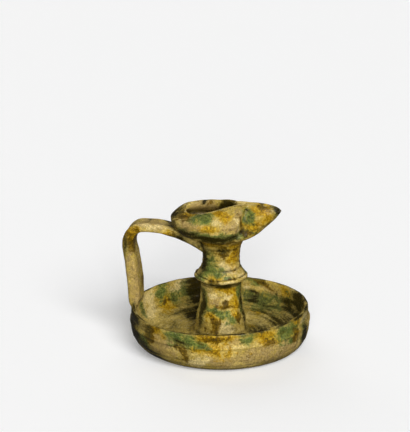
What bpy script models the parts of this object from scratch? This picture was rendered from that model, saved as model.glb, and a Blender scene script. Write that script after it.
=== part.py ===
"""Glazed earthenware pedestal lamp, modelled as one fired-clay solid.

A wide drip dish carries a flared stem with a drooping collar. On the neck sits a small reservoir, thrown as a
cup and pinched into a pointed spout. A strap handle rises from the dish's wall and ends on the neck.

The lamp stands on the plane z = 0 with its stem on the z axis. The spout points along +X and the handle along
-X. Lengths are in metres.
"""

import math

import bmesh
import bpy
from mathutils import Vector

MM = 0.001

# Driving dimensions of the dish
DISH_RIM_RADIUS = 69.2 * MM
DISH_HEIGHT = 31.6 * MM
DISH_BASE_RADIUS = 57.0 * MM
DISH_LIP_THICKNESS = 3.4 * MM
DISH_WALL_THICKNESS = 6.4 * MM
DISH_FLOOR_THICKNESS = 8.0 * MM
DISH_FLOOR_RISE = 1.6 * MM
RIDGE_DROP = 10.6 * MM
RIDGE_PROUD = 1.6 * MM
RIDGE_UNDERCUT = 0.6 * MM
RIDGE_BAND = 1.6 * MM

# Driving heights of the reservoir's rim and of the reservoir alone, with what follows from them
LAMP_HEIGHT = 115.4 * MM
CUP_HEIGHT = 27.4 * MM
CUP_UNDERSIDE_Z = LAMP_HEIGHT - CUP_HEIGHT
STEM_HEIGHT = CUP_UNDERSIDE_Z - DISH_FLOOR_THICKNESS

# Driving dimensions of the stem, its collar and the neck, the heights as shares of the stem's
STEM_FOOT_RADIUS = 25.0 * MM
STEM_BELL_RADIUS = 20.3 * MM
STEM_BELL_HEIGHT = 7.0 * MM
STEM_TOP_RADIUS = 15.8 * MM
STEM_TOP_Z = DISH_FLOOR_THICKNESS + 0.515 * STEM_HEIGHT
COLLAR_RADIUS = 21.2 * MM
COLLAR_EDGE_Z = DISH_FLOOR_THICKNESS + 0.5925 * STEM_HEIGHT
COLLAR_LIP = 1.2 * MM
COLLAR_DROP = 0.13 * STEM_HEIGHT
NECK_RADIUS = 14.5 * MM
NECK_FLARE_RADIUS = 21.6 * MM
NECK_FLARE_HEIGHT = 0.19375 * STEM_HEIGHT

# Driving dimensions of the reservoir
CUP_FOOT_RADIUS = 20.4 * MM
CUP_BACK_REACH = 39.4 * MM
CUP_SPOUT_REACH = 47.0 * MM
CUP_HALF_WIDTH = 25.6 * MM
CUP_WALL_THICKNESS = 4.6 * MM
CUP_FLOOR_THICKNESS = 6.4 * MM
CUP_LIP_THICKNESS = 2.6 * MM
MOUTH_BACK_REACH = 25.5 * MM
MOUTH_SPOUT_REACH = 42.0 * MM
MOUTH_HALF_WIDTH = 10.6 * MM

# Driving dimensions of the strap handle
HANDLE_THICKNESS = 8.4 * MM
HANDLE_TOP_THICKNESS = 8.0 * MM
HANDLE_WIDTH = 17.0 * MM
HANDLE_FOOT_WIDTH = 23.0 * MM
HANDLE_NECK_WIDTH = 20.0 * MM
HANDLE_OVERHANG = 8.0 * MM
HANDLE_TOP_Z = CUP_UNDERSIDE_Z + 0.32 * CUP_HEIGHT
HANDLE_DIP = 0.2 * STEM_HEIGHT
HANDLE_BURIED = 6.0 * MM

# Unevenness left by the potter's hand, as shares of the dish's rim radius, and where round the dish it peaks
BULGE_SHARE = 0.030
BULGE_AZIMUTH = math.radians(-132.0)
LIP_RISE_SHARE = 0.024
LIP_RISE_AZIMUTH = math.radians(-30.0)

# Roundness of the reservoir's shoulder, 1 for a quarter ellipse and 2 for a straight slope
SHOULDER_POWER = 1.4

# Fineness of the mesh
DISH_STEPS = 60
STEM_STEPS = 44
CUP_STEPS = 56
HANDLE_STEPS = 16
HANDLE_SECTIONS = 26

GLAZE_COLOUR = (0.33, 0.25, 0.09, 1.0)
GLAZE_ROUGHNESS = 0.35
JOIN_DISTANCE = 0.00001


def smooth_through(stations, at):
    """Value at a place on a smooth curve through stations, which are (place, value) pairs in rising order."""
    if at <= stations[0][0]:
        return stations[0][1]
    if at >= stations[-1][0]:
        return stations[-1][1]
    slopes = []
    for index, (place, value) in enumerate(stations):
        before = stations[max(index - 1, 0)]
        after = stations[min(index + 1, len(stations) - 1)]
        slopes.append((after[1] - before[1]) / (after[0] - before[0]))
    for index in range(len(stations) - 1):
        start, end = stations[index], stations[index + 1]
        if at <= end[0]:
            break
    span = end[0] - start[0]
    share = (at - start[0]) / span
    square, cube = share ** 2, share ** 3
    return (
        (2.0 * cube - 3.0 * square + 1.0) * start[1]
        + (cube - 2.0 * square + share) * span * slopes[index]
        + (3.0 * square - 2.0 * cube) * end[1]
        + (cube - square) * span * slopes[index + 1]
    )


def ellipse_arc(centre, radii, start_degrees, end_degrees, count):
    """Points on an elliptical arc in the (radius, height) plane, both ends included."""
    points = []
    for index in range(count + 1):
        angle = math.radians(start_degrees + (end_degrees - start_degrees) * index / count)
        points.append((centre[0] + radii[0] * math.cos(angle), centre[1] + radii[1] * math.sin(angle)))
    return points


def dish_profile():
    """Half section of the dish, from the middle of its floor over the lip to the middle of its underside."""
    half_lip = 0.5 * DISH_LIP_THICKNESS
    ridge_radius = DISH_RIM_RADIUS + RIDGE_PROUD
    ridge_z = DISH_HEIGHT - RIDGE_DROP
    belly_z = ridge_z - 2.0 * RIDGE_BAND
    belly_radius = ridge_radius - RIDGE_UNDERCUT
    inner_radius = belly_radius - DISH_WALL_THICKNESS
    floor_edge = 0.68 * inner_radius
    floor_edge_z = DISH_FLOOR_THICKNESS + DISH_FLOOR_RISE
    profile = [(0.0, DISH_FLOOR_THICKNESS), (STEM_FOOT_RADIUS, DISH_FLOOR_THICKNESS)]
    profile += ellipse_arc(
        (floor_edge, belly_z), (inner_radius - floor_edge, belly_z - floor_edge_z), -90.0, 0.0, 5
    )
    lip_centre = (DISH_RIM_RADIUS - half_lip, DISH_HEIGHT - half_lip)
    profile += ellipse_arc(lip_centre, (half_lip, half_lip), 180.0, 0.0, 4)
    profile.append((ridge_radius - 0.3 * RIDGE_PROUD, ridge_z + RIDGE_BAND))
    profile.append((ridge_radius, ridge_z))
    profile.append((belly_radius, ridge_z - RIDGE_BAND))
    profile += ellipse_arc(
        (DISH_BASE_RADIUS, belly_z), (belly_radius - DISH_BASE_RADIUS, belly_z), 0.0, -90.0, 6
    )
    profile.append((0.0, 0.0))
    return profile


def stem_profile():
    """Half section of the solid stem, from the middle of its top down its outside to its buried foot."""
    buried_top_z = CUP_UNDERSIDE_Z + 0.62 * CUP_FLOOR_THICKNESS
    flare = NECK_FLARE_RADIUS - NECK_RADIUS
    neck_top_z = CUP_UNDERSIDE_Z - NECK_FLARE_HEIGHT
    profile = [(0.0, buried_top_z), (NECK_FLARE_RADIUS - 0.4 * flare, buried_top_z)]
    profile.append((NECK_FLARE_RADIUS, CUP_UNDERSIDE_Z + 0.54 * CUP_FLOOR_THICKNESS))
    profile.append((NECK_FLARE_RADIUS - 0.06 * flare, CUP_UNDERSIDE_Z + 0.24 * CUP_FLOOR_THICKNESS))
    profile += ellipse_arc((NECK_FLARE_RADIUS, neck_top_z), (flare, NECK_FLARE_HEIGHT), 105.0, 180.0, 5)
    collar_top_z = COLLAR_EDGE_Z + COLLAR_DROP
    profile.append((NECK_RADIUS, 0.5 * (neck_top_z + collar_top_z)))
    collar_reach = COLLAR_RADIUS - NECK_RADIUS
    profile.append((NECK_RADIUS + 0.10 * collar_reach, COLLAR_EDGE_Z + 0.86 * COLLAR_DROP))
    profile.append((NECK_RADIUS + 0.34 * collar_reach, COLLAR_EDGE_Z + 0.56 * COLLAR_DROP))
    profile.append((NECK_RADIUS + 0.70 * collar_reach, COLLAR_EDGE_Z + 0.27 * COLLAR_DROP))
    profile.append((COLLAR_RADIUS - 0.2 * COLLAR_LIP, COLLAR_EDGE_Z + 0.8 * COLLAR_LIP))
    profile.append((COLLAR_RADIUS, COLLAR_EDGE_Z))
    profile.append((COLLAR_RADIUS - COLLAR_LIP, COLLAR_EDGE_Z - COLLAR_LIP))
    profile.append((STEM_TOP_RADIUS + COLLAR_LIP, 0.5 * (COLLAR_EDGE_Z - COLLAR_LIP + STEM_TOP_Z)))
    profile.append((STEM_TOP_RADIUS, STEM_TOP_Z))
    bell_z = DISH_FLOOR_THICKNESS + STEM_BELL_HEIGHT
    shaft = STEM_TOP_Z - bell_z
    bell_reach = STEM_BELL_RADIUS - STEM_TOP_RADIUS
    for drop_share, reach_share in ((0.25, 0.06), (0.44, 0.19), (0.60, 0.43), (0.76, 0.76), (1.0, 1.0)):
        profile.append((STEM_TOP_RADIUS + reach_share * bell_reach, STEM_TOP_Z - drop_share * shaft))
    foot_reach = STEM_FOOT_RADIUS - STEM_BELL_RADIUS
    profile.append((STEM_BELL_RADIUS + 0.35 * foot_reach, bell_z - 0.62 * STEM_BELL_HEIGHT))
    profile.append((STEM_FOOT_RADIUS, DISH_FLOOR_THICKNESS - 0.1 * DISH_FLOOR_THICKNESS))
    profile.append((STEM_FOOT_RADIUS, 0.5 * DISH_FLOOR_THICKNESS))
    profile.append((0.0, 0.5 * DISH_FLOOR_THICKNESS))
    return profile


def cup_width_share(along):
    """Fullness of the reservoir's plan at a place along it, -1 at its back and 1 at its spout's tip."""
    stations = (
        (-1.0, 1.20), (-0.55, 1.12), (-0.20, 1.01), (0.06, 0.94), (0.22, 0.83), (0.34, 0.64), (0.46, 0.55),
        (0.62, 0.52), (0.80, 0.46), (1.0, 0.34),
    )
    return smooth_through(stations, along)


def mouth_width_share(along):
    """Fullness of the mouth's plan at a place along it: a wide slot behind, a narrow wick channel in front."""
    stations = (
        (-1.0, 1.25), (-0.70, 1.22), (-0.42, 1.10), (-0.12, 0.98), (0.12, 0.68), (0.30, 0.36), (0.44, 0.18),
        (0.62, 0.15), (0.84, 0.20), (1.0, 0.34),
    )
    return smooth_through(stations, along)


def cup_plan(angle, back_reach, spout_reach, half_width, width_share):
    """Point of a plan outline at an angle round it, 0 at the spout, with the outline's ends at the reaches."""
    along = math.cos(angle)
    middle = 0.5 * (spout_reach - back_reach)
    half_length = 0.5 * (spout_reach + back_reach)
    return Vector((middle + half_length * along, half_width * width_share(along) * math.sin(angle)))


def widest_height(x):
    """Height at which the reservoir's wall is widest, which climbs from its back to the spout's tip."""
    stations = (
        (-CUP_BACK_REACH, 0.540), (0.0, 0.584), (0.6 * CUP_SPOUT_REACH, 0.679), (CUP_SPOUT_REACH, 0.832),
    )
    return CUP_UNDERSIDE_Z + CUP_HEIGHT * smooth_through(stations, x)


def rim_height(x):
    """Height of the reservoir's rim, which rises to where the spout is pinched and falls to its tip."""
    stations = (
        (-CUP_BACK_REACH, 0.657), (-MOUTH_BACK_REACH, 0.745), (-0.5 * MOUTH_BACK_REACH, 0.865),
        (0.07 * CUP_SPOUT_REACH, 0.956), (0.46 * CUP_SPOUT_REACH, 1.0), (0.70 * CUP_SPOUT_REACH, 0.953),
        (MOUTH_SPOUT_REACH, 0.894), (CUP_SPOUT_REACH, 0.839),
    )
    return CUP_UNDERSIDE_Z + CUP_HEIGHT * smooth_through(stations, x)


def belly_ring(turn, foot_radius, foot_z, back_reach, spout_reach, half_width):
    """Ring of the reservoir's wall below its widest line, at a turn of 0 on the foot and 90 degrees on that line.

    The back is round like a cup, and the spout runs straight up from the foot to its tip.
    """
    ring = []
    for index in range(CUP_STEPS):
        angle = 2.0 * math.pi * index / CUP_STEPS
        foot = Vector((foot_radius * math.cos(angle), foot_radius * math.sin(angle)))
        widest = cup_plan(angle, back_reach, spout_reach, half_width, cup_width_share)
        spout_share = max(0.0, math.cos(angle)) ** 2
        power = 2.0 / (2.3 - 1.0 * spout_share)
        out_share = math.sin(turn) ** power
        up_share = 1.0 - math.cos(turn) ** power
        plan = foot.lerp(widest, out_share)
        ring.append(Vector((plan.x, plan.y, foot_z + (widest_height(widest.x) - foot_z) * up_share)))
    return ring


def shoulder_ring(turn, inset, drop):
    """Ring of the reservoir's incurved shoulder, at a turn of 0 on the widest line and 90 degrees on the lip."""
    ring = []
    for index in range(CUP_STEPS):
        angle = 2.0 * math.pi * index / CUP_STEPS
        widest = cup_plan(
            angle, CUP_BACK_REACH - inset, CUP_SPOUT_REACH - inset, CUP_HALF_WIDTH - inset, cup_width_share
        )
        lip_gap = CUP_LIP_THICKNESS if drop == 0.0 else 0.0
        lip = cup_plan(
            angle, MOUTH_BACK_REACH + lip_gap, MOUTH_SPOUT_REACH + lip_gap, MOUTH_HALF_WIDTH, mouth_width_share
        )
        lip.y += math.copysign(lip_gap, math.sin(angle)) * min(1.0, 2.0 * abs(math.sin(angle)))
        plan = widest.lerp(lip, 1.0 - math.cos(turn) ** SHOULDER_POWER)
        low = widest_height(widest.x)
        high = rim_height(lip.x) - drop
        ring.append(Vector((plan.x, plan.y, low + (high - low) * math.sin(turn) ** SHOULDER_POWER)))
    return ring


def lip_ring(outward_share, rise):
    """Ring on the rounded lip of the mouth, between its inner edge (0) and its outer edge (1)."""
    inner = shoulder_ring(math.radians(90.0), CUP_WALL_THICKNESS, CUP_LIP_THICKNESS)
    outer = shoulder_ring(math.radians(90.0), 0.0, 0.0)
    ring = []
    for inside, outside in zip(inner, outer):
        point = inside.lerp(outside, outward_share)
        point.z = outside.z + rise
        ring.append(point)
    return ring


def cup_rings():
    """All rings of the reservoir's wall, from its underside up the outside, over the lip and down the inside."""
    rings = []
    for degrees in (0.0, 18.0, 36.0, 54.0, 72.0, 90.0):
        rings.append(
            belly_ring(
                math.radians(degrees), CUP_FOOT_RADIUS, CUP_UNDERSIDE_Z, CUP_BACK_REACH, CUP_SPOUT_REACH,
                CUP_HALF_WIDTH,
            )
        )
    for degrees in (22.0, 45.0, 68.0, 90.0):
        rings.append(shoulder_ring(math.radians(degrees), 0.0, 0.0))
    rings.append(lip_ring(0.55, 0.1 * CUP_LIP_THICKNESS))
    rings.append(lip_ring(0.12, -0.3 * CUP_LIP_THICKNESS))
    for degrees in (90.0, 60.0, 30.0):
        rings.append(shoulder_ring(math.radians(degrees), CUP_WALL_THICKNESS, CUP_LIP_THICKNESS))
    for degrees in (90.0, 64.0, 40.0, 18.0):
        rings.append(
            belly_ring(
                math.radians(degrees), CUP_FOOT_RADIUS - CUP_WALL_THICKNESS,
                CUP_UNDERSIDE_Z + CUP_FLOOR_THICKNESS, CUP_BACK_REACH - CUP_WALL_THICKNESS,
                CUP_SPOUT_REACH - CUP_WALL_THICKNESS, CUP_HALF_WIDTH - CUP_WALL_THICKNESS,
            )
        )
    return rings


def handle_stations():
    """Centre line of the handle as (x, z) points, from inside the dish's wall to inside the neck."""
    wall_x = -(DISH_RIM_RADIUS - 0.2 * HANDLE_THICKNESS)
    outer_x = -(DISH_RIM_RADIUS + HANDLE_OVERHANG - 0.5 * HANDLE_THICKNESS)
    top_z = HANDLE_TOP_Z - 0.5 * HANDLE_TOP_THICKNESS
    lip_z = DISH_HEIGHT
    rise = top_z - lip_z
    neck_x = -(NECK_RADIUS - HANDLE_BURIED)
    reach = neck_x - outer_x
    return (
        (wall_x + 0.1 * HANDLE_THICKNESS, lip_z - 0.7 * HANDLE_THICKNESS),
        (wall_x, lip_z),
        (wall_x - 0.22 * HANDLE_OVERHANG, lip_z + 0.26 * rise),
        (wall_x - 0.48 * HANDLE_OVERHANG, lip_z + 0.55 * rise),
        (outer_x, lip_z + 0.75 * rise),
        (outer_x + 0.022 * reach, lip_z + 0.88 * rise),
        (outer_x + 0.095 * reach, lip_z + 0.97 * rise),
        (outer_x + 0.20 * reach, top_z),
        (outer_x + 0.38 * reach, top_z - 0.02 * HANDLE_DIP),
        (outer_x + 0.52 * reach, top_z - 0.14 * HANDLE_DIP),
        (outer_x + 0.66 * reach, top_z - 0.31 * HANDLE_DIP),
        (outer_x + 0.78 * reach, top_z - 0.49 * HANDLE_DIP),
        (outer_x + 0.88 * reach, top_z - 0.69 * HANDLE_DIP),
        (neck_x, top_z - HANDLE_DIP),
    )


def handle_rings():
    """Rounded strap sections along the handle: broad at the dish, narrower above, spreading onto the neck."""
    stations = handle_stations()
    places = [index / (len(stations) - 1) for index in range(len(stations))]
    along_x = [(place, point[0]) for place, point in zip(places, stations)]
    along_z = [(place, point[1]) for place, point in zip(places, stations)]
    widths = (
        (0.0, HANDLE_FOOT_WIDTH), (0.08, HANDLE_FOOT_WIDTH), (0.35, 0.5 * (HANDLE_FOOT_WIDTH + HANDLE_WIDTH)),
        (0.6, HANDLE_WIDTH), (0.8, HANDLE_WIDTH), (1.0, HANDLE_NECK_WIDTH),
    )
    thicknesses = ((0.0, HANDLE_THICKNESS), (0.38, HANDLE_THICKNESS), (0.6, HANDLE_TOP_THICKNESS),
                   (1.0, HANDLE_TOP_THICKNESS))
    rings = []
    step = 0.004
    for section in range(HANDLE_SECTIONS + 1):
        place = section / HANDLE_SECTIONS
        before, after = max(place - step, 0.0), min(place + step, 1.0)
        centre = Vector((smooth_through(along_x, place), 0.0, smooth_through(along_z, place)))
        heading = Vector((
            smooth_through(along_x, after) - smooth_through(along_x, before), 0.0,
            smooth_through(along_z, after) - smooth_through(along_z, before),
        )).normalized()
        outward = heading.cross(Vector((0.0, 1.0, 0.0)))
        half_width = 0.5 * smooth_through(widths, place)
        half_thickness = 0.5 * smooth_through(thicknesses, place)
        ring = []
        for index in range(HANDLE_STEPS):
            angle = 2.0 * math.pi * index / HANDLE_STEPS
            across = math.copysign(abs(math.cos(angle)) ** 0.66, math.cos(angle))
            through = math.copysign(abs(math.sin(angle)) ** 0.66, math.sin(angle))
            offset = Vector((0.0, half_width * across, 0.0)) + outward * (half_thickness * through)
            ring.append(centre + offset)
        rings.append(ring)
    return rings


def glaze_material():
    """Splashed lead glaze, given here by its mean colour."""
    material = bpy.data.materials.new("splashed_glaze")
    material.use_nodes = True
    shader = material.node_tree.nodes["Principled BSDF"]
    shader.inputs["Base Color"].default_value = GLAZE_COLOUR
    shader.inputs["Roughness"].default_value = GLAZE_ROUGHNESS
    shader.inputs["Metallic"].default_value = 0.0
    return material


def place_in(collection, name, mesh):
    """Object of that name with the mesh, linked to the collection."""
    thing = bpy.data.objects.new(name, mesh)
    collection.objects.link(thing)
    return thing


def turned_mesh(collection, name, profile, steps):
    """Mesh of a profile turned once round the z axis."""
    bm = bmesh.new()
    points = [bm.verts.new((radius, 0.0, height)) for radius, height in profile]
    for first, second in zip(points, points[1:]):
        bm.edges.new((first, second))
    line = bpy.data.meshes.new(name + "_profile")
    bm.to_mesh(line)
    bm.free()
    wheel = place_in(collection, name + "_profile", line)
    screw = wheel.modifiers.new("turning", "SCREW")
    screw.axis = "Z"
    screw.steps = steps
    screw.render_steps = steps
    screw.use_merge_vertices = True
    screw.merge_threshold = JOIN_DISTANCE
    bpy.context.view_layer.update()
    mesh = bpy.data.meshes.new_from_object(wheel.evaluated_get(bpy.context.evaluated_depsgraph_get()))
    bpy.data.objects.remove(wheel)
    mesh.name = name
    return mesh


def lofted_mesh(name, rings):
    """Closed mesh through equal rings of points, with both ends capped."""
    bm = bmesh.new()
    loops = [[bm.verts.new(point) for point in ring] for ring in rings]
    count = len(loops[0])
    for lower, upper in zip(loops, loops[1:]):
        for index in range(count):
            following = (index + 1) % count
            bm.faces.new((lower[index], lower[following], upper[following], upper[index]))
    for loop in (loops[0], loops[-1]):
        middle = bm.verts.new(sum((point.co for point in loop), Vector()) / count)
        for index in range(count):
            bm.faces.new((middle, loop[index], loop[(index + 1) % count]))
    bmesh.ops.recalc_face_normals(bm, faces=bm.faces)
    mesh = bpy.data.meshes.new(name)
    bm.to_mesh(mesh)
    bm.free()
    return mesh


def uneven_dish(mesh):
    """Push the dish a little out of round and lift its lip on one side, and leave its underside flat."""
    for vertex in mesh.vertices:
        radius = math.hypot(vertex.co.x, vertex.co.y)
        azimuth = math.atan2(vertex.co.y, vertex.co.x)
        height_share = max(0.0, vertex.co.z / DISH_HEIGHT)
        wall_share = min(1.0, radius / DISH_RIM_RADIUS) ** 4
        bulge = azimuth - BULGE_AZIMUTH
        swell = BULGE_SHARE * (0.6 * math.cos(bulge) + 0.4 * math.cos(2.0 * bulge)) * wall_share
        lift = azimuth - LIP_RISE_AZIMUTH
        rise = LIP_RISE_SHARE * (0.67 * math.cos(lift) + 0.33 * math.cos(2.0 * lift)) * wall_share
        vertex.co.x *= 1.0 + swell * math.sqrt(height_share)
        vertex.co.y *= 1.0 + swell * math.sqrt(height_share)
        vertex.co.z += DISH_RIM_RADIUS * rise * height_share ** 3


def join(body, shape):
    """Fuse the shape into the body by a Boolean union, and hide the shape."""
    union = body.modifiers.new(shape.name, "BOOLEAN")
    union.operation = "UNION"
    union.solver = "EXACT"
    union.object = shape
    shape.hide_render = True
    shape.display_type = "WIRE"


def main():
    """Clear the scene, shape the four thrown and pulled parts, and fuse them into one solid."""
    for thing in list(bpy.data.objects):
        bpy.data.objects.remove(thing)
    lamp_parts = bpy.data.collections.new("oil_lamp_parts")
    lamp_shapes = bpy.data.collections.new("oil_lamp_shapes")
    for collection in (lamp_parts, lamp_shapes):
        bpy.context.scene.collection.children.link(collection)

    dish = turned_mesh(lamp_shapes, "dish", dish_profile(), DISH_STEPS)
    uneven_dish(dish)
    stem = turned_mesh(lamp_shapes, "stem", stem_profile(), STEM_STEPS)
    cup = lofted_mesh("reservoir", cup_rings())
    strap = lofted_mesh("handle", handle_rings())

    lamp = place_in(lamp_parts, "oil_lamp", dish)
    lamp.data.materials.append(glaze_material())
    for mesh in (stem, cup, strap):
        join(lamp, place_in(lamp_shapes, mesh.name, mesh))
    lamp.data.shade_smooth()


main()
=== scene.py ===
"""Glazed earthenware pedestal lamp, dressed for rendering.

The lamp stands on the plane z = 0 with its stem on the z axis. The spout points along +X and the handle
along -X. The classes hold the lamp's sizes in millimetres. Meshes, lights and the camera are in metres.
"""

from __future__ import annotations

import logging
import math
from dataclasses import dataclass, field
from enum import Enum
from typing import Any, Callable, Sequence

import bmesh
import bpy
import numpy as np
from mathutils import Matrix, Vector, noise
from mathutils.bvhtree import BVHTree
from mathutils.kdtree import KDTree

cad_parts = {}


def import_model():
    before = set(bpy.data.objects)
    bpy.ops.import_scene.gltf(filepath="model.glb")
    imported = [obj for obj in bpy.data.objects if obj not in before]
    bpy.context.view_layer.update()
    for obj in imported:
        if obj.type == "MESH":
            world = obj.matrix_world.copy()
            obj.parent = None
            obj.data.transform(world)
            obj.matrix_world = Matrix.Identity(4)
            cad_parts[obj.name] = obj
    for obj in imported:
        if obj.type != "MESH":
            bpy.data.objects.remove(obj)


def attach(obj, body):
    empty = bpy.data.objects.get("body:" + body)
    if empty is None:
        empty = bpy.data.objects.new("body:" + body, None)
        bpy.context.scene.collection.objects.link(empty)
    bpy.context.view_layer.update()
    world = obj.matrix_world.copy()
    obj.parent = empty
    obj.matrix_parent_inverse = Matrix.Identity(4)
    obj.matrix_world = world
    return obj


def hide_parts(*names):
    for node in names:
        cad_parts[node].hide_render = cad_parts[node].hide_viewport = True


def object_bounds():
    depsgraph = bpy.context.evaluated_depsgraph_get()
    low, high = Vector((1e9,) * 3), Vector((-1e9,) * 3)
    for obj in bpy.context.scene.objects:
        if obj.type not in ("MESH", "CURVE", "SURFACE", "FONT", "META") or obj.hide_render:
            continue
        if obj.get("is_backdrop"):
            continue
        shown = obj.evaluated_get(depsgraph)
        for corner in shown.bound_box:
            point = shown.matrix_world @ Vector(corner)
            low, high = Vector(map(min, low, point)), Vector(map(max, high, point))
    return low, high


MM = 0.001
Colour = tuple[float, float, float]
Place = tuple[float, float, float]
LOG = logging.getLogger("lamp")


class Value:
    """A socket of a node tree, on which Python's arithmetic adds Math nodes."""

    def __init__(self, graph: Graph, socket: bpy.types.NodeSocket) -> None:
        """Keep the socket with the graph it belongs to."""
        self.graph = graph
        self.socket = socket

    def __add__(self, other: Operand) -> Value:
        """Sum with a socket or a number."""
        return self.graph.math("ADD", self, other)

    def __radd__(self, other: float) -> Value:
        """Sum of a number and this socket."""
        return self.graph.math("ADD", other, self)

    def __sub__(self, other: Operand) -> Value:
        """Difference from a socket or a number."""
        return self.graph.math("SUBTRACT", self, other)

    def __rsub__(self, other: float) -> Value:
        """Difference of a number and this socket."""
        return self.graph.math("SUBTRACT", other, self)

    def __mul__(self, other: Operand) -> Value:
        """Product with a socket or a number."""
        return self.graph.math("MULTIPLY", self, other)

    def __rmul__(self, other: float) -> Value:
        """Product of a number and this socket."""
        return self.graph.math("MULTIPLY", other, self)

    def __truediv__(self, other: Operand) -> Value:
        """Quotient by a socket or a number."""
        return self.graph.math("DIVIDE", self, other)


Operand = Value | float


class Graph:
    """A node tree that is built from expressions on its sockets."""

    def __init__(self, tree: bpy.types.NodeTree) -> None:
        """Take the tree that the nodes go into."""
        self.tree = tree

    def node(
        self,
        kind: str,
        settings: dict[str, Any] | None = None,
        inputs: dict[str | int, Any] | None = None,
        output: str | int = 0,
    ) -> Value:
        """Add a node.

        Args:
            kind: Blender's name for the type of node.
            settings: the node's own properties, set before its sockets. "stops" holds a ramp's stops.
            inputs: numbers, colours or sockets for the node's inputs, by their name or number.
            output: name or number of the output to give back.

        Returns:
            The chosen output.
        """
        made = self.tree.nodes.new(kind)
        for name, value in (settings or {}).items():
            if name == "stops":
                self.set_stops(made.color_ramp, value)
            else:
                setattr(made, name, value)
        for key, value in (inputs or {}).items():
            if isinstance(value, Value):
                self.tree.links.new(value.socket, made.inputs[key])
            else:
                made.inputs[key].default_value = value
        return Value(self, made.outputs[output])

    @staticmethod
    def set_stops(ramp: bpy.types.ColorRamp, stops: Sequence[tuple[float, Colour]]) -> None:
        """Give a ramp its stops, in rising order."""
        while len(ramp.elements) < len(stops):
            ramp.elements.new(1.0)
        for element, (position, colour) in zip(ramp.elements, stops):
            element.position = position
            element.color = (*colour, 1.0)

    def math(self, operation: str, *operands: Operand) -> Value:
        """Result of a Math node on sockets and numbers."""
        return self.node("ShaderNodeMath", {"operation": operation}, dict(enumerate(operands)))

    def vector(self, operation: str, *operands: Value | Place) -> Value:
        """Result of a Vector Math node on sockets and vectors."""
        return self.node("ShaderNodeVectorMath", {"operation": operation}, dict(enumerate(operands)))

    def scaled(self, vector: Value, factor: Operand) -> Value:
        """A vector times a number or a socket."""
        return self.node("ShaderNodeVectorMath", {"operation": "SCALE"}, {"Vector": vector, "Scale": factor})

    def apart(self, vector: Value) -> tuple[Value, Value, Value]:
        """The three coordinates of a vector."""
        first = self.node("ShaderNodeSeparateXYZ", None, {0: vector})
        outputs = first.socket.node.outputs
        return first, Value(self, outputs[1]), Value(self, outputs[2])

    def together(self, x: Operand, y: Operand, z: Operand) -> Value:
        """A vector from its three coordinates."""
        return self.node("ShaderNodeCombineXYZ", None, {0: x, 1: y, 2: z})

    def step(self, value: Value, low: float, high: float) -> Value:
        """Smooth step of a value from 0 at the low number to 1 at the high one."""
        return self.node(
            "ShaderNodeMapRange",
            {"interpolation_type": "SMOOTHSTEP"},
            {"Value": value, "From Min": low, "From Max": high},
        )

    def mix(
        self, share: Operand, first: Value | Colour, second: Value | Colour, blend: str = "MIX"
    ) -> Value:
        """Colour between two colours."""
        ends = [end if isinstance(end, Value) else (*end, 1.0) for end in (first, second)]
        return self.node(
            "ShaderNodeMix", {"data_type": "RGBA", "blend_type": blend},
            {0: share, 6: ends[0], 7: ends[1]}, 2
        )

    def clouds(self, place: Value, scale: float, detail: float = 3.0, roughness: float = 0.5) -> Value:
        """Noise between 0 and 1 at a place, with the scale in patches a metre."""
        return self.node(
            "ShaderNodeTexNoise", None,
            {"Vector": place, "Scale": scale, "Detail": detail, "Roughness": roughness}
        )

    def cells(self, place: Value, scale: float, feature: str = "F1") -> Value:
        """Distance in a pattern of cells, with the scale in cells a metre."""
        return self.node(
            "ShaderNodeTexVoronoi", {"feature": feature}, {"Vector": place, "Scale": scale}, "Distance"
        )


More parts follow.
